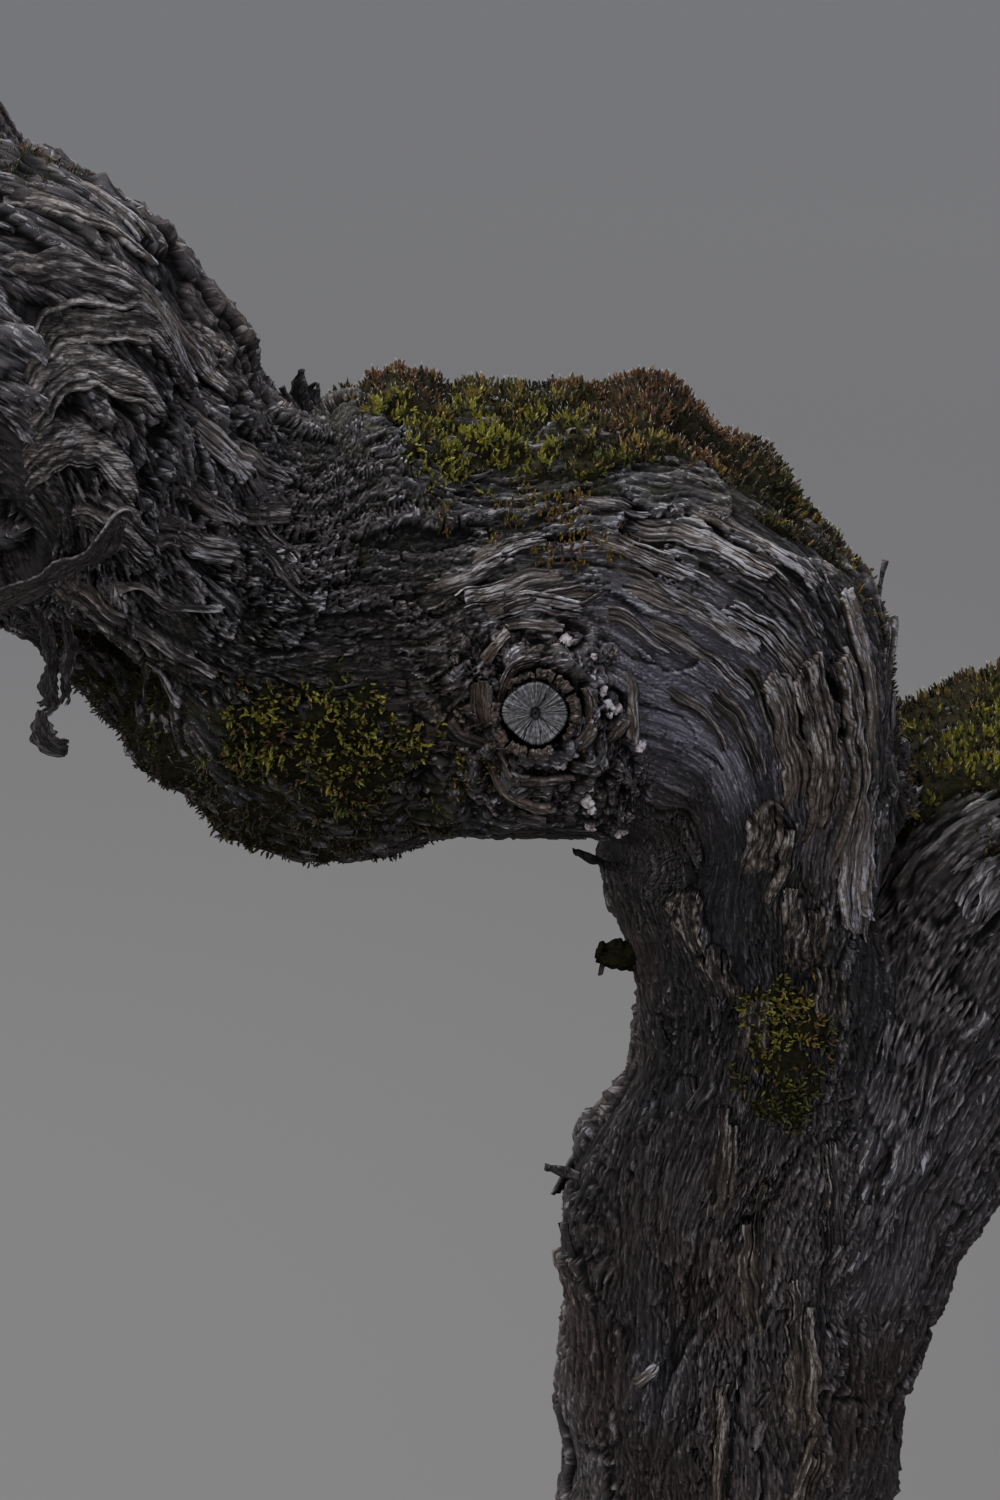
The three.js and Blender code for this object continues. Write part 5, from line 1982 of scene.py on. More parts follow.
class Moss:
    """Cushions of moss: an earthy bed under each and many small leafy shoots on it."""

    leaves = 8
    variants = 6
    tall = 3.0
    lit_tops = {Shade.LIME: 0.2, Shade.GOLD: 0.14, Shade.GREEN: 0.05, Shade.DEEP: -0.2, Shade.UMBER: -0.14}

    def __init__(self, vine: Vine, scatter: Scatter, finishes: Finishes) -> None:
        """Starts with no shoots.

        Args:
            vine: the stems they grow on.
            scatter: what stands the shoots.
            finishes: the materials.
        """
        self.vine = vine
        self.scatter = scatter
        self.finishes = finishes
        self.random = np.random.default_rng(404)
        self.spots: dict[Shade, list[Grid]] = {shade: [] for shade in Shade}

    def skin(self, cushion: Cushion) -> Skin:
        """The bark that a cushion lies on."""
        return self.vine.right_skin if cushion.on_right else self.vine.main_skin

    def mask(self, cushion: Cushion, s: Grid, angle: Grid) -> Grid:
        """How far inside a cushion the places are: 0 at its ragged edge, 1 in its middle."""
        turn = turned(angle, cushion.angle)
        away = np.abs((s - cushion.s) / cushion.reach_s) ** 2.4 + np.abs(turn / cushion.reach_angle) ** 2.4
        seed = int(cushion.s * 7 + cushion.angle)
        ragged = 0.75 * Waves(seed, 13, 22, 30)(s, angle) + 0.4 * Waves(seed + 1, 5, 50, 40)(s, angle)
        return 1 - away + cushion.lumps * ragged

    def rise(self, cushion: Cushion, s: Grid, angle: Grid) -> Grid:
        """The bed's height above the bark, in millimetres."""
        inside = np.clip(self.mask(cushion, s, angle) / 0.6, 0, 1)
        lumpy = 0.72 + 0.3 * Waves(int(cushion.s), 8, 30, 40)(s, angle)
        high = cushion.thick * np.clip(lumpy, 0.2, 1.3) + covered(cushion.crowns, s, angle)
        if cushion.thick:
            high = high + cushion.mounds * np.clip(self.clumps(cushion, s, angle) + 0.3, 0, 1.3)
        return high * np.sqrt(inside)

    def clumps(self, cushion: Cushion, s: Grid, angle: Grid) -> Grid:
        """How far up a clump of the cushion the places are: above 0 on it, below 0 beside it."""
        return Waves(int(cushion.s) + 9, 6.5, 38, 36)(s, angle)

    def ways_out(self, cushion: Cushion, s: Grid, angle: Grid) -> Grid:
        """The ways that stand straight off a cushion's lumpy top."""
        sides = []
        for step_s, step_angle in ((0.8, 0.0), (0.0, 0.02)):
            ends = []
            for sign in (1, -1):
                there_s, there_angle = s + sign * step_s, angle + sign * step_angle
                skin = self.skin(cushion)
                normal = unit(skin.sample(skin.normal, there_s, there_angle))
                high = self.rise(cushion, there_s, there_angle)
                ends.append(skin.sample(skin.bed, there_s, there_angle) + normal * high[..., None])
            sides.append(ends[0] - ends[1])
        return unit(np.cross(*sides))

    def spans(self, cushion: Cushion, spare: float) -> tuple[tuple[float, float], tuple[float, float]]:
        """The lengths and angles that a cushion lies between, with some to spare at the stem's end."""
        middle, wide = math.radians(cushion.angle), math.radians(1.3 * cushion.reach_angle)
        high = min(cushion.s + 1.3 * cushion.reach_s, self.skin(cushion).rows[-1] - spare)
        return (cushion.s - 1.3 * cushion.reach_s, high), (middle - wide, middle + wide)

    def bed(self, cushion: Cushion) -> None:
        """Makes a cushion's earthy bed, which stands for its solid."""
        skin = self.skin(cushion)
        row, column = skin.nearest(np.array(cushion.s), np.array(math.radians(cushion.angle)))
        step = 1.0
        lengths, angles = self.spans(cushion, 3)
        angle = np.arange(*angles, step / skin.round_mm[row, column])
        s, angle = np.meshgrid(np.arange(*lengths, step), angle, indexing="ij")
        base = skin.sample(skin.bed, s, angle)
        normal = unit(skin.sample(skin.normal, s, angle))
        rise = self.rise(cushion, s, angle)
        grit = self.random.normal(0, 1, s.shape)
        top = base + normal * (rise - 0.3 + 0.22 * grit * (rise > 0.3))[..., None]
        bottom = base - normal * 1.6
        inside = self.mask(cushion, s, angle) > 0
        keep = inside[:-1, :-1] & inside[1:, :-1] & inside[1:, 1:] & inside[:-1, 1:]
        points, quads, _ = used_only(*slab(top, bottom, keep), {})
        piece = mesh_object(f"moss_bed_{cushion.name}", points, (quads,))
        dressed(piece, self.finishes.moss_bed, (cushion.node,))

    def sow(self, cushion: Cushion) -> None:
        """Sows a cushion's shoots, each with its way of growing, size and colour."""
        random = self.random
        skin = self.skin(cushion)
        lengths, angles = self.spans(cushion, 2)
        probe = np.meshgrid(np.linspace(*lengths, 40), np.linspace(*angles, 40))
        areas = skin.area(*skin.nearest(*probe))
        count = int(cushion.per_mm2 * areas.mean() * np.ptp(lengths) * np.ptp(angles))
        s = random.uniform(*lengths, count)
        angle = random.uniform(*angles, count)
        area = skin.area(*skin.nearest(s, angle))
        inside = self.mask(cushion, s, angle)
        crowd = 0.8 + 0.4 * self.clumps(cushion, s, angle)
        keep = inside > -0.04 + 0.1 * random.random(count)
        keep = keep & (random.random(count) < crowd * area / areas.max() * 1.3)
        s, angle, inside = s[keep], angle[keep], inside[keep]
        count = len(s)
        normal = unit(skin.sample(skin.normal, s, angle))
        spot = skin.sample(skin.bed, s, angle) + normal * (self.rise(cushion, s, angle) - 0.45)[:, None]
        out = 0.4 * normal + 0.6 * self.ways_out(cushion, s, angle) + np.array([0, 0, cushion.upward])
        out = out + cushion.splay * random.normal(0, 1, (count, 3))
        size = cushion.length / self.tall * random.uniform(0.65, 1.2, count)
        size = size * (0.7 + 0.3 * np.clip(inside * 3, 0, 1))
        scores = []
        for k, (shade, weight, place) in enumerate(cushion.colours):
            there = weight if place is None else weight * place.mask(s, angle)
            clump = 0.16 * Waves(31 + k, 9, 26, 24)(s, angle)
            clump += self.lit_tops.get(shade, 0.0) * self.clumps(cushion, s, angle)
            scores.append(there + clump + 0.17 * random.normal(0, 1, count))
        choice = np.argmax(scores, 0)
        turn = random.uniform(0, TURN, count)
        data = np.column_stack([spot, unit(out), size, turn])
        for k, (shade, _, _) in enumerate(cushion.colours):
            self.spots[shade].append(data[choice == k])
        tips = data[random.random(count) < 0.3].copy()
        tips[:, :3] += tips[:, 3:6] * (2.5 * tips[:, 6:7])
        tips[:, 3:6] = unit(tips[:, 3:6] + 0.25 * random.normal(0, 1, (len(tips), 3)))
        self.spots[Shade.HAIR].append(tips)
        LOG.info("moss %s: %d shoots", cushion.name, count)

    def shoot(self, random: Random) -> Piece:
        """One shoot: keeled leaves close together in a slim pointed spindle, of two faces each."""
        points, faces = [], []
        top = np.array([0.0, 0.0, 1.0])
        for k in range(self.leaves):
            share = k / (self.leaves - 1)
            turn = 2.4 * k + random.uniform(-0.3, 0.3)
            tilt = math.radians(random.uniform(26, 48) * (1 - share) + random.uniform(4, 14) * share)
            long = random.uniform(1.15, 1.55) * (1 - 0.1 * share)
            out = np.array([math.cos(turn), math.sin(turn), 0])
            side = np.array([-math.sin(turn), math.cos(turn), 0])
            way = out * math.sin(tilt) + top * math.cos(tilt)
            inward = top * math.sin(tilt) - out * math.cos(tilt)
            base = out * 0.06 + top * (0.1 + 1.5 * share)
            belly = base + way * 0.45 * long + inward * 0.12
            wide = random.uniform(0.22, 0.34)
            tip = base + way * long + inward * 0.22 * long
            points += [base, belly - side * wide, belly + side * wide, tip]
            faces += [(4 * k, 4 * k + 3, 4 * k + 1), (4 * k, 4 * k + 2, 4 * k + 3)]
        return mesh_object("shoot", np.array(points), (np.array(faces),))

    def hair(self, random: Random) -> Piece:
        """A pale hair point: a thin three-sided needle."""
        ring = [[0.055 * math.cos(a), 0.055 * math.sin(a), 0.0] for a in (0, 2.1, 4.2)]
        points = np.array([*ring, [0.05, 0.02, random.uniform(0.8, 1.2)]])
        return mesh_object("hair", points, (np.array([[0, 1, 3], [1, 2, 3], [2, 0, 3]]),))

    def grow(self) -> None:
        """Makes the beds and the shoots."""
        for cushion in CUSHIONS:
            if cushion.node:
                self.bed(cushion)
            self.sow(cushion)
        random = np.random.default_rng(77)
        scatter = self.scatter
        shoots = scatter.kit("shoots", [self.shoot(random) for _ in range(self.variants)])
        hairs = scatter.kit("hairs", [self.hair(random) for _ in range(2)])
        for shade, parts in self.spots.items():
            spots = np.vstack(parts)
            kit = hairs if shade is Shade.HAIR else shoots
            name = f"moss_{shade.name.lower()}"
            scatter.stand(name, spots, kit, self.finishes.shoots[shade], "moss")
        scatter.clear(shoots)
        scatter.clear(hairs)


@dataclass(frozen=True)
class Spur:
    """A short pruned spur: an old collar of bark with one year-old cane on it, in millimetres."""

    node: str
    at: Point
    towards: Point
    turn: float
    collar: float
    collar_length: float
    cane: float
    cane_length: float

    def axes(self) -> tuple[Grid, Grid, Grid]:
        """The way it grows, its side and its back."""
        axis = unit(np.array(self.towards, float))
        side = unit(np.cross(np.array([0.0, 1.0, 0.0]), axis))
        return axis, side, np.cross(axis, side)

    def profile(self) -> tuple[Grid, Grid]:
        """Heights along the spur and its radii there."""
        c, long, thin, reach = self.collar, self.collar_length, self.cane, self.cane_length
        rows = [(-14, c), (0, 1.06 * c), (0.45 * long, 0.98 * c), (0.85 * long, 0.9 * c)]
        cane = ((0, 1.3), (0.28, 1), (0.38, 1.45), (0.48, 0.96), (0.74, 0.94))
        cane += ((0.82, 1.38), (0.9, 0.92), (1, 0.9))
        rows += [(long + share * reach, wide * thin) for share, wide in cane]
        return np.array(rows, float).T

    def build(self, finishes: Finishes, seed: int) -> Piece:
        """Makes the spur: shaggy collar, striped cane with buds at its nodes, and a slanted cut.

        Args:
            finishes: the materials.
            seed: fixes everything random on it.

        Returns:
            The piece.
        """
        random = np.random.default_rng(seed)
        axis, side, back = self.axes()
        heights, radii = self.profile()
        top = heights[-1]
        split = self.collar_length
        h = np.r_[np.arange(-14, split, 0.55), np.linspace(split, top, int(self.cane_length / 0.5))]
        columns = 60
        angle = np.arange(columns) / columns * TURN
        h_grid, a_grid = np.meshgrid(h, angle, indexing="ij")
        r = blurred(np.interp(h, heights, radii)[:, None], 2.0, 0) + 0 * a_grid
        barky = smoothstep(split + 1.5, split - 2.5, h_grid)
        ridges = 1 - np.abs(Waves(seed, 26, 9, 22)(h_grid, a_grid))
        shags = 1 - np.abs(Waves(seed + 1, 9, 16, 26)(h_grid, a_grid))
        relief = barky * (0.9 * ridges + 0.55 * shags - 0.6 + 0.14 * random.normal(0, 1, r.shape))
        stripes = 1 - np.abs(Waves(seed + 2, 60, 17, 26)(h_grid, a_grid))
        relief = relief + (1 - barky) * 0.16 * stripes
        frayed = barky * 0.8 * smoothstep(split - 5, split - 1, h_grid)
        relief = relief + frayed * (random.random(columns) - 0.3)
        r = r + relief
        bow = self.turn * h_grid**2
        cut = smoothstep(top - 1.0, top, h_grid) * 0.75 * r * np.cos(a_grid)
        points = np.array(self.at) + axis * (h_grid + cut)[..., None] + side * bow[..., None]
        points = points + side * (r * np.cos(a_grid))[..., None] + back * (r * np.sin(a_grid))[..., None]
        rows = len(h)
        last = points[-1]
        centre = last.mean(0)
        rings = [centre + (last - centre) * share for share in (0.93, 0.82, 0.55, 0.32, 0.22, 0.12)]
        drops = (-0.12, 0.1, 0.15, 0.1, -0.7, -0.9)
        rings = [ring + axis * drop for ring, drop in zip(rings, drops)]
        points = np.concatenate([points, np.array(rings)])
        flat, faces = tube(points, points[0].mean(0), centre - axis * 0.95)
        extra = np.zeros((len(rings), columns))
        shaggy = (relief - blurred(relief, 3, 3)) * 0.55
        lit = 0.5 + np.where(barky > 0.5, shaggy, 0.1 + 0.9 * (stripes - 0.7) * 0.3)
        lit = np.vstack([np.clip(lit, 0, 1), np.array([0.45, 0.52, 0.54, 0.42, 0.2, 0.1])[:, None] + extra])
        tone = np.clip(0.5 + 0.3 * Waves(seed + 3, 12, 5, 12)(h_grid, a_grid), 0, 1)
        tone = np.vstack([tone, 0.6 + extra])
        crisp = np.clip(0.5 + barky * (relief - blurred(relief, 1, 1)) * 0.8, 0, 1)
        crisp = np.vstack([crisp, 0.55 + extra])
        fibre = np.stack([a_grid * 6, h_grid, 0 * r + seed], -1)
        ring_fibre = [np.stack([angle * 6, 0 * angle + share, 0 * angle], -1) for share in range(6)]
        fibre = np.vstack([np.concatenate([fibre, ring_fibre]).reshape(-1, 3), np.zeros((2, 3))])
        buds, bud_faces = self.buds(seed, len(flat))
        on_buds = np.full(len(buds), 0.55)
        lit = np.r_[lit.ravel(), 0.3, 0.1, on_buds]
        tone = np.r_[tone.ravel(), 0.5, 0.5, on_buds]
        crisp = np.r_[crisp.ravel(), 0.5, 0.5, on_buds]
        silver = np.r_[np.zeros(len(flat)), on_buds]
        crumbly = np.r_[np.full(len(flat), 0.7), on_buds]
        fibre = np.vstack([fibre, np.full((len(buds), 3), 0.55)])
        marks = wood_marks(lit, tone, fibre, silver, crisp, crumbly)
        sides = [part[:, ::-1] for part in (*faces, bud_faces)]
        piece = mesh_object(self.node + "_wood", np.vstack([flat, buds]), sides, marks)
        for material in (finishes.cane, finishes.bark, finishes.cut_wood):
            piece.data.materials.append(material)
        ring_of = np.repeat(np.arange(len(points) - 1), columns)
        split_row = int(np.searchsorted(h, split))
        index = np.where(ring_of < split_row, 1, np.where(ring_of >= rows - 1, 2, 0))
        index = np.r_[index, np.full(columns, 1), np.full(columns, 2), np.zeros(len(bud_faces), int)]
        piece.data.polygons.foreach_set("material_index", index.astype(np.int32))
        return dressed(piece, finishes.cane, (self.node,))

    def buds(self, seed: int, start: int) -> tuple[Grid, Grid]:
        """Two pointed buds at the cane's nodes.

        Args:
            seed: fixes their shapes.
            start: number of the first point.

        Returns:
            Their points and triangles.
        """
        random = np.random.default_rng(seed + 50)
        axis, side, back = self.axes()
        parts = []
        for k, share in enumerate((0.36, 0.8)):
            h = self.collar_length + share * self.cane_length
            turn = 0.6 + math.pi * k
            out = side * math.cos(turn) + back * math.sin(turn)
            grid, faces = lump(random, 1.0, 0.06)
            height = grid[:, 2:3]
            slim = 1 - 0.55 * np.clip(height, 0, 1)
            way = unit(axis * 0.85 + out * 0.6)
            flat = unit(np.cross(axis, out))
            third = np.cross(flat, way)
            spot = np.array(self.at) + axis * h + side * self.turn * h**2 + out * self.cane * 1.5
            shape = way * height * 3.0 + flat * grid[:, :1] * 1.7 * slim + third * grid[:, 1:2] * 1.5 * slim
            parts.append((spot + shape, faces, {}))
        points, faces, _ = joined(parts)
        return points, faces[0] + start


SPURS = (
    Spur("left_spur_front", (-141.5, -49, 541), (-0.33, -0.08, 0.94), -0.004, 8.5, 20, 4.3, 34),
    Spur("left_spur_tip", (-186, -63, 523), (-0.82, -0.25, 0.52), -0.006, 7.5, 16, 4, 36),
    Spur("left_spur_back", (-158, -30, 540), (-0.15, 0.5, 0.85), 0.005, 8, 22, 4.2, 32),
    Spur("right_spur_top", (140, 50, 421), (0.1, -0.2, 0.97), 0.004, 8, 18, 4.2, 36),
    Spur("right_spur_tip", (190, 70, 421), (0.62, 0.18, 0.76), 0.005, 7.5, 18, 4, 38),
    Spur("right_spur_back", (165, 92, 408), (0.25, 0.62, 0.74), -0.004, 7, 16, 3.9, 30),
)

PLATES = (
    Plate((424, 62), (446, 61), 5.6, 1.8, 0.6, 1.0, 3, 0.9, 1.4),
    Plate((462, 63), (437, 68), 4.6, 0.8, 0.75, 0.9, 4, 0.7, 1.4),
    Plate((457, 73), (434, 78), 3.8, 0.6, 0.7, 0.7, 4, 0.6, 1.2),
    Plate((468, 72), (449, 79), 3.4, 0.7, 0.6, 0.6, 4, 0.6, 1.2),
    Plate((444, 84), (420, 89), 4.4, 0.6, 0.35, 0.2, 5, 0.6, 1.6),
    Plate((453, 88), (431, 96), 3.2, 0.6, 0.45, 0.3, 5, 0.6, 1.6),
    Plate((412, 36), (423, 17), 2.6, 1.8, 0.5, 0.5, 2, 1.0, 1.4),
    Plate((474, 62), (500, 70), 4.5, 1.8, 0.35, 0.5, 5, 1.2, 1.4),
    Plate((468, 66), (488, 72), 3.0, 1.2, 0.3, 0.4, 4, 1.0, 1.2),
    Plate((493, 58), (476, 51), 3.5, 1.2, 0.3, 0.4, 4, 0.8, 1.4),
    Plate((467, 52), (448, 58), 4.6, 2.2, 0.6, 0.9, 5, 1.2, 1.4),
    Plate((463, 59), (445, 66), 2.6, 1.6, 0.5, 0.8, 4, 1.0, 1.0),
    Plate((460, 46), (438, 50), 5.0, 2.6, 0.6, 1.0, 6, 1.2, 1.5),
    Plate((452, 38), (434, 43), 4.0, 2.4, 0.5, 0.9, 6, 1.0, 1.5),
    Plate((447, 47), (431, 52), 3.4, 2.2, 0.4, 0.7, 4, 1.0, 1.2),
    Plate((470, 42), (456, 44), 3.6, 1.4, 0.3, 0.6, 5, 1.0, 1.5),
    Plate((440, 74), (420, 80), 3.0, 0.9, 0.3, 0.3, 4, 0.7, 1.4),
    Plate((333, 119), (347, 129), 4.5, 1.6, 0.15, 0.1, 3),
    Plate((505, 65), (482, 58), 3.5, 1.2, 0.4, 0.5, 4),
    Plate((569, 39), (545, 55), 3.5, 1.2, 0.4, 0.5, 5),
    Plate((561, 52), (540, 66), 4.0, 1.4, 0.5, 0.6, 5),
    Plate((266, 130), (273, 117), 3.4, 1.2, 1.0, 1.0, 1, 0.9, 2.4),
    Plate((584, 97), (560, 78), 1.6, 1.2, 0.4, 0.4, 1),
    Plate((576, 97), (553, 93), 2.2, 1.2, 0.35, 0.4, 2),
    Plate((575, 110), (550, 111), 4.2, 1.6, 0.2, 0.3, 4, 0.9, 1.4),
    Plate((584, 60), (562, 52), 5.0, 1.6, 0.5, 0.6, 5, 1.2, 2.0),
)
ARM_PLATES = (
    Plate((617, 26), (600, 24), 6.0, 2.4, 0.5, 0.4, 5, 1.4, 2.4, 0, 0.4),
    Plate((611, 10), (601, 16), 4.0, 1.4, 0.8, 0.9, 3, 0.9, 1.6),
    Plate((606, 38), (586, 33), 8.0, 2.6, 0.55, 0.4, 6, 1.6, 2.4, -2, 0.4),
    Plate((597, 22), (578, 24), 5.0, 2.2, 0.9, 0.9, 6, 1.2, 1.6, 1, 0.2),
    Plate((588, 44), (566, 37), 6.0, 2.4, 0.8, 0.8, 6, 1.3, 1.8, 0, 0.2),
    Plate((574, 34), (556, 31), 5.0, 2.0, 0.75, 0.7, 6, 1.2, 1.6, 0, 0.3),
    Plate((566, 46), (547, 39), 5.0, 2.2, 0.6, 0.5, 6, 1.2, 1.8, 0, 0.3),
    Plate((614, 74), (592, 42), 7.0, 2.6, 0.65, 0.3, 5, 1.6, 3.0, 6, 0.6),
    Plate((613, 90), (594, 58), 8.0, 2.4, 0.5, 0.2, 5, 1.6, 3.0, 7, 0.6),
    Plate((610, 104), (590, 76), 8.0, 2.2, 0.45, 0.2, 6, 1.6, 3.0, 7, 0.6),
    Plate((619, 58), (600, 40), 6.0, 2.2, 0.45, 0.3, 5, 1.4, 2.4, 4, 0.4),
    Plate((598, 96), (576, 80), 7.0, 2.0, 0.4, 0.2, 6, 1.4, 2.4, 3, 0.5),
    Plate((583, 78), (562, 64), 6.0, 2.0, 0.4, 0.3, 6, 1.3, 2.0, 2, 0.4),
    Plate((590, 112), (570, 98), 6.0, 1.8, 0.3, 0.1, 6, 1.3, 2.0, 2, 0.4),
)
TAN_PLATES = (
    Plate((410, 77), (437, 71), 7.4, 3.2, 0.8, 0.5, 5, 2.4, 3.4, 0, 0.3),
    Plate((402, 66), (433, 61), 8.0, 3.4, 0.65, 0.3, 4, 2.6, 4.0, 0, 0.5),
    Plate((396, 54), (429, 50), 5.6, 3.6, 0.7, 0.6, 5, 2.2, 3.0, 0, 0.4),
    Plate((408, 44), (432, 39), 4.2, 2.6, 0.95, 0.8, 5, 1.2, 2.4, 0, 0.2),
    Plate((396, 91), (418, 91), 8.6, 4.4, 0.7, 0.2, 2, 3.6, 4.0, 0, 1.0),
    Plate((390, 81), (411, 80), 3.6, 2.8, 0.6, 0.4, 3, 2.0, 2.0, 0, 0.7),
    Plate((386, 74), (397, 74), 3.6, 1.6, 0.85, 0.6, 3, 1.0, 1.4, 0, 0.2),
    Plate((378, 60), (391, 59), 2.8, 1.6, 0.65, 0.4, 4, 1.2, 1.4, 0, 0.2),
    Plate((378, 118), (402, 118), 8.0, 2.4, 0.25, 0.0, 3, 2.4, 4.0, 0, 1.0),
    Plate((372, 70), (394, 67), 9.0, 1.8, 0.3, 0.0, 6, 1.8, 3.4, 0, 0.9),
    Plate((366, 110), (386, 108), 7.0, 1.8, 0.2, 0.0, 6, 1.8, 3.4, 0, 0.9),
    Plate((352, 56), (378, 54), 8.0, 1.8, 0.3, 0.1, 8, 1.8, 3.0, 0, 0.7),
    Plate((350, 96), (372, 95), 7.0, 1.6, 0.25, 0.0, 7, 1.6, 3.0, 0, 0.8),
    Plate((280, 81), (324, 88), 5.0, 0.9, 0.25, 0.1, 16, 0.9, 1.6, 0, 0.3),
    Plate((256, 66), (304, 70), 6.5, 0.9, 0.3, 0.1, 18, 0.9, 1.6, 0, 0.3),
    Plate((294, 54), (340, 57), 6.0, 1.0, 0.3, 0.2, 16, 0.9, 1.6, 0, 0.3),
    Plate((234, 96), (276, 92), 6.0, 0.9, 0.22, 0.1, 16, 0.9, 1.6, 0, 0.3),
    Plate((228, 74), (264, 60), 6.0, 0.9, 0.22, 0.1, 16, 0.9, 1.6, 0, 0.3),
    Plate((312, 100), (346, 104), 5.5, 1.0, 0.15, 0.0, 14, 0.9, 1.6, 0, 0.3),
)
SILVER_PLATES = (
    Plate((408, 50), (383, 46), 8.6, 2.8, 1.5, 1.0, 6, 0.6, 1.8),
    Plate((396, 43), (378, 42), 6.0, 2.6, 1.5, 1.0, 5, 0.6, 1.4),
)
FOLDS = (
    fold(8.6, 166, 72, 2.8, 1.4, 0.75, 0.5),
    fold(12.6, 200, 150, 5.0, 2.2, 0.35, 0.2),
    fold(21.0, 122, 56, 4.0, 1.6, 0.65, 0.6),
    fold(16.5, 112, 60, 2.4, 1.2, 0.5, 0.4),
    fold(14.5, 142, 98, 2.6, 1.2, 0.3, 0.2),
    fold(10.2, -24, 26, 1.8, 1.6, 0.55, 0.3),
    fold(9.8, -56, -16, 2.8, 1.4, 0.6, 0.2),
    fold(16.2, 246, 296, 2.4, 1.4, 0.4, 0.2),
    fold(20.5, 232, 280, 3.0, 1.4, 0.3, 0.1),
    fold(23.0, 16, -24, 3.2, 1.6, 0.5, 0.3),
    fold(19.0, -30, -6, 3.2, 2.0, 0.7, 0.4),
)
RIGHT_PLATES = (
    Plate((180, 116), (171, 111), 4.0, 1.6, 0.6, 0.5, 3),
    Plate((181, 112), (171, 104), 4.0, 1.6, 0.6, 0.5, 3),
    Plate((150, 95), (128, 92), 5.0, 1.2, 0.5, 0.3, 4),
)
MAIN_FLAKES = ((200, (5, 14), (2.0, 4.6), 1.6), (700, (3, 10), (0.7, 1.5), 1.4))
RIGHT_FLAKES = ((60, (5, 14), (1.8, 4.0), 1.4), (300, (3, 11), (0.6, 1.5), 1.4))
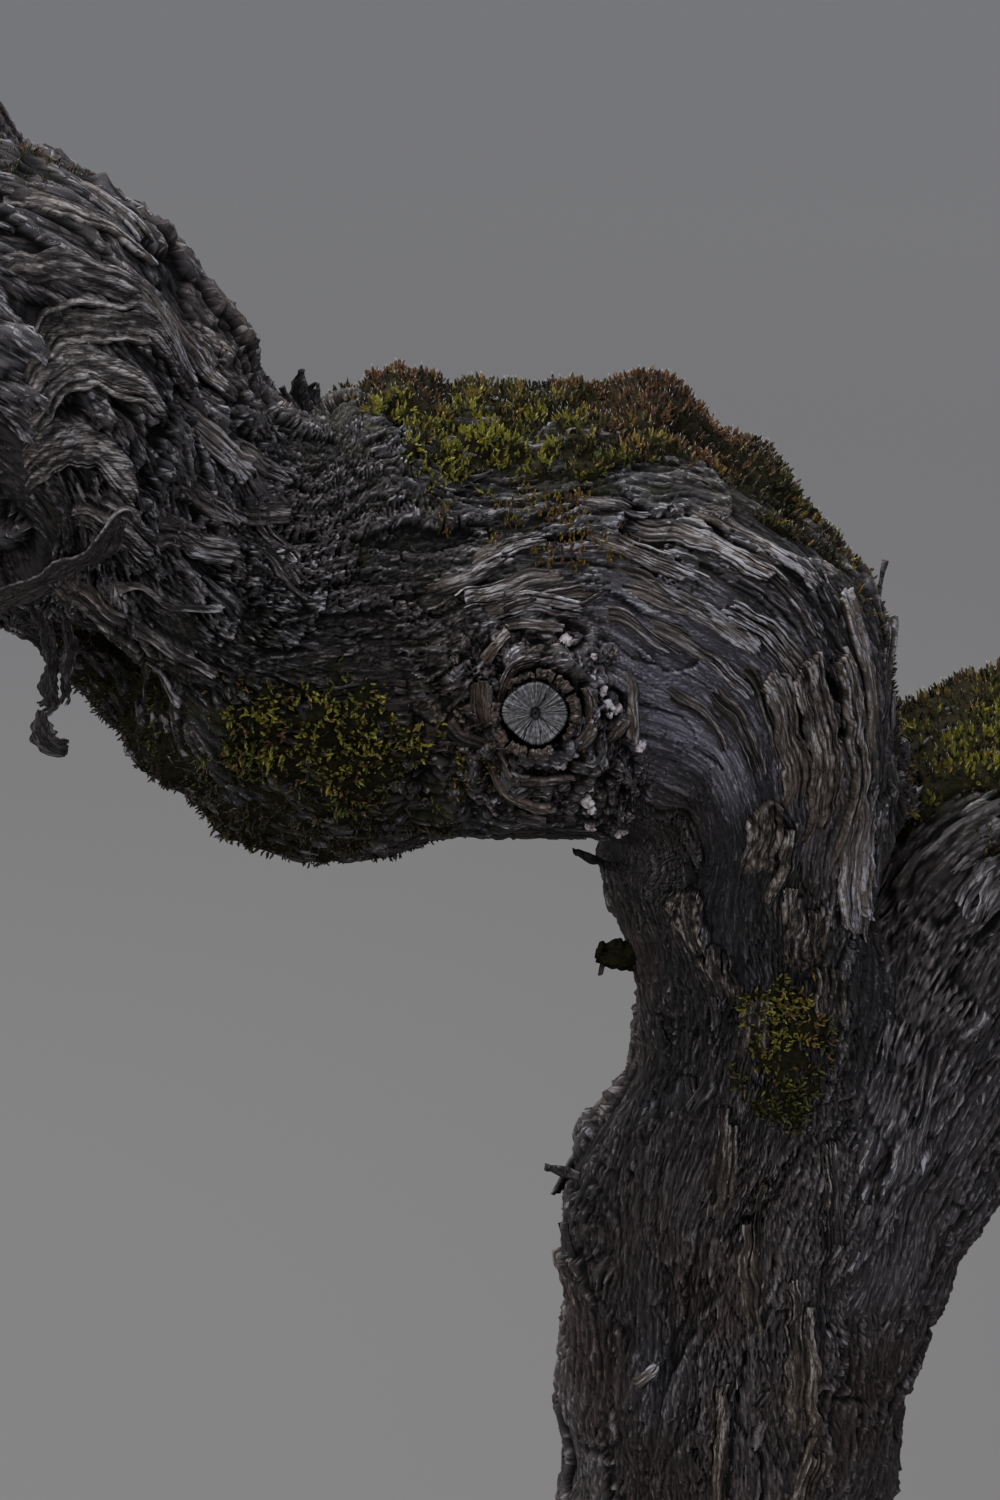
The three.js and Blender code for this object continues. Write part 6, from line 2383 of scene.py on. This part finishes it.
RIBBONS = (
    Ribbon(
        "curled_flap",
        (
            (-143.3, -76, 466.6), (-138.8, -78, 468.8), (-132.7, -79, 471.6), (-126.4, -81, 475.6),
            (-122, -83, 477.7), (-118.8, -86, 481), (-116.3, -90, 484.9), (-114.8, -92, 488.2),
            (-113.4, -90, 488.6), (-111.5, -86, 487.2),
        ),
        (
            (0.1, 0.75, -0.6), (0.1, 0.75, -0.6), (0.1, 0.7, -0.65), (0.1, 0.75, -0.6), (0.25, 0.8, -0.5),
            (0.45, 0.8, -0.4), (0.6, 0.75, -0.25), (0.45, 0.85, -0.25), (0.1, 0.95, -0.2), (0.0, 0.95, -0.15),
        ),
        (8.5, 8.5, 8.0, 8.0, 8.0, 7.0, 6.5, 5.5, 4.5, 3.0), 0.9, 0.08, 0.55, -1.1,
    ),
    Ribbon(
        "hanging_shred",
        (
            (-133.9, -74, 467.6), (-132.3, -70, 460.7), (-132, -66, 453.2), (-133.5, -64, 446.2),
            (-133.3, -62, 441.7), (-135.7, -61, 440.1),
        ),
        ((0.9, -0.3, 0.1),), (3.0, 3.0, 2.6, 3.0, 3.4, 3.0), 0.8, 0.35, 0.2, -0.4,
    ),
    Ribbon(
        "second_shred",
        (
            (-127.6, -72, 466.2), (-128.4, -70, 460.7), (-128, -68, 456), (-129.9, -65, 449.6),
            (-130.2, -63, 443.2), (-131.1, -62, 441.9),
        ),
        ((0.9, -0.3, 0.1),), (3.2, 2.4, 2.8, 2.4, 1.6), 0.8, 0.35, 0.3, -0.4,
    ),
    Ribbon(
        "broken_shred",
        (
            (-135.4, -61, 440.4), (-135.8, -61, 437.8), (-135.2, -61, 434.8), (-133.4, -60.6, 432.6),
            (-130.8, -60, 432.2),
        ),
        ((0.9, -0.2, 0.1), (0.9, -0.2, 0.1), (0.8, -0.2, 0.5), (0.45, -0.2, 0.8), (0.1, -0.2, 0.9)),
        (1.4, 3.6, 5.2, 5.0, 3.0), 0.7, 0.3, 0.35, 0.4,
    ),
    Ribbon(
        "snag_stub",
        ((-6, -9, 365.4), (-13.7, -10, 365.9), (-18.3, -12, 367), (-21.3, -13, 367.7), (-24.4, -13, 368.9)),
        ((0.05, -0.5, 0.86),), (6.5, 5.5, 5.5, 7.0, 5.0), 3.4, 0.5, 0.0, 0.0, True,
    ),
    Ribbon(
        "snag_whisker", ((-21.5, -12, 368), (-23.6, -13, 366), (-24, -13, 361.5)),
        ((0.5, -0.8, 0.1),), (0.9,), 0.7, 0.1, 0.2,
    ),
    Ribbon(
        "thorn", ((-20, -7, 307.6), (-26, -8, 308.9), (-29.9, -8, 310.2), (-35.7, -8, 311.5)),
        ((0.0, -0.6, 0.8),), (1.8, 1.3), 1.4, 0.15, 0.2,
    ),
    Ribbon(
        "thorn_under_elbow", ((-17, -18, 389), (-24, -20, 391.6), (-27.2, -24, 395), (-30.3, -26, 397)),
        ((0.3, -0.6, 0.7),), (2.0, 1.2), 1.3, 0.2, 0.1,
    ),
    Ribbon(
        "crest_snag", ((-86.0, -24, 489), (-86.2, -24, 495.7), (-85.2, -24, 500)),
        ((0.9, -0.4, 0),), (6.4, 3.8, 0.8), 1.8, 0.5, 0.1,
    ),
    Ribbon(
        "crest_snag_right", ((-83.6, -21, 488), (-84.0, -21, 494.2), (-82.6, -21, 496.5)),
        ((0.9, -0.4, 0),), (6.0, 4.0, 1.2), 1.6, 0.5, 0.2,
    ),
    Ribbon(
        "crest_snag_left", ((-87.8, -26, 489), (-88.4, -26, 494.3), (-89.4, -26, 497)),
        ((0.9, -0.3, 0),), (4.8, 2.8, 0.8), 1.4, 0.5, 0.1,
    ),
    Ribbon(
        "edge_spike", ((33.5, -11, 446), (35, -9, 452), (36, -8, 455.5)),
        ((0.3, -0.9, 0),), (1.6, 0.7), 0.9, 0.2, 0.4,
    ),
)


def loose_bark(vine: Vine, finishes: Finishes) -> None:
    """Makes the plates and ribbons that stand off the bark."""
    main, right = vine.main_skin, vine.right_skin
    crowds = (
        ("bark_plates", main, 61, 1.0, PLATES + FOLDS + SILVER_PLATES, (), finishes.dry_bark),
        ("arm_plates", main, 63, 1.3, ARM_PLATES, (), finishes.dry_bark),
        ("tan_plates", main, 62, 1.35, TAN_PLATES, (), finishes.tan_bark),
        ("bark_flakes", main, 65, 1.8, (), MAIN_FLAKES, finishes.bark),
        ("bark_flakes_right", right, 64, 1.5, RIGHT_PLATES, RIGHT_FLAKES, finishes.bark),
    )
    for name, skin, seed, cell, chosen, strewn, finish in crowds:
        plates = Plates(skin, seed, cell)
        for plate in chosen:
            plates.add(plate)
        for flakes in strewn:
            plates.strew(*flakes)
        plates.build(name, finish)
    for number, ribbon in enumerate(RIBBONS):
        ribbon.build(finishes.moss_bed if ribbon.dark else finishes.bark, 90 + number)


@dataclass
class Studio:
    """Camera, lights and floor. The camera looks down on the elbow from the front."""

    pitch: float = 20.0
    lens: float = 65.0
    at: Point = (-0.046, -0.5599, 0.613787)

    def place(self, finishes: Finishes) -> None:
        """Puts the camera, the lights and the floor."""
        camera = linked("camera", bpy.data.cameras.new("camera"))
        camera.data.lens = self.lens
        camera.data.sensor_width = 36
        camera.data.clip_start = 0.01
        camera.location = self.at
        camera.rotation_euler = (math.radians(90 - self.pitch), 0, 0)
        bpy.context.scene.camera = camera
        self.light("overcast", (-0.45, 0.25, 1.55), (0, 0, 0.4), 0.9, 19)
        self.light("front_fill", (-1.05, -1.35, 1.2), (0, 0, 0.42), 1.5, 9.5)
        world = bpy.data.worlds.new("studio")
        world.use_nodes = True
        background = world.node_tree.nodes["Background"]
        background.inputs["Color"].default_value = tint(0.76, 0.79, 0.9)
        background.inputs["Strength"].default_value = 0.76
        bpy.context.scene.world = world
        size = 30000.0
        corners = np.array([[-size, -size, 0], [size, -size, 0], [size, size, 0], [-size, size, 0]])
        floor = mesh_object("floor", corners, (np.array([[0, 1, 2, 3]]),))
        floor.data.materials.append(finishes.floor)

    def light(self, name: str, at: Point, to: Point, size: float, power: float) -> None:
        """A square area light.

        Args:
            name: the light's name.
            at: where it hangs, in metres.
            to: the point it faces.
            size: its side.
            power: its power in watts.
        """
        data = bpy.data.lights.new(name, "AREA")
        data.size = size
        data.energy = power
        lamp = linked(name, data)
        lamp.location = at
        way = Vector(to) - Vector(at)
        lamp.rotation_euler = way.to_track_quat("-Z", "Y").to_euler()


def main() -> None:
    """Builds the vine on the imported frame."""
    logging.basicConfig(level=logging.INFO, format="%(message)s")
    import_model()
    finishes = Finishes()
    Studio().place(finishes)
    vine = Vine(finishes)
    vine.grow()
    vine.dress()
    loose_bark(vine, finishes)
    cut = PruningCut()
    cut.disc(finishes.cut_wood)
    cut.rim(finishes.dry_bark)
    woolly_buds(vine.main_skin, finishes.woolly)
    scatter = Scatter()
    burl_flakes(vine.main_skin, scatter, finishes.dry_bark)
    for number, spur in enumerate(SPURS):
        spur.build(finishes, 300 + 7 * number)
    Moss(vine, scatter, finishes).grow()
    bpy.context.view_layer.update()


if __name__ == "__main__":
    main()
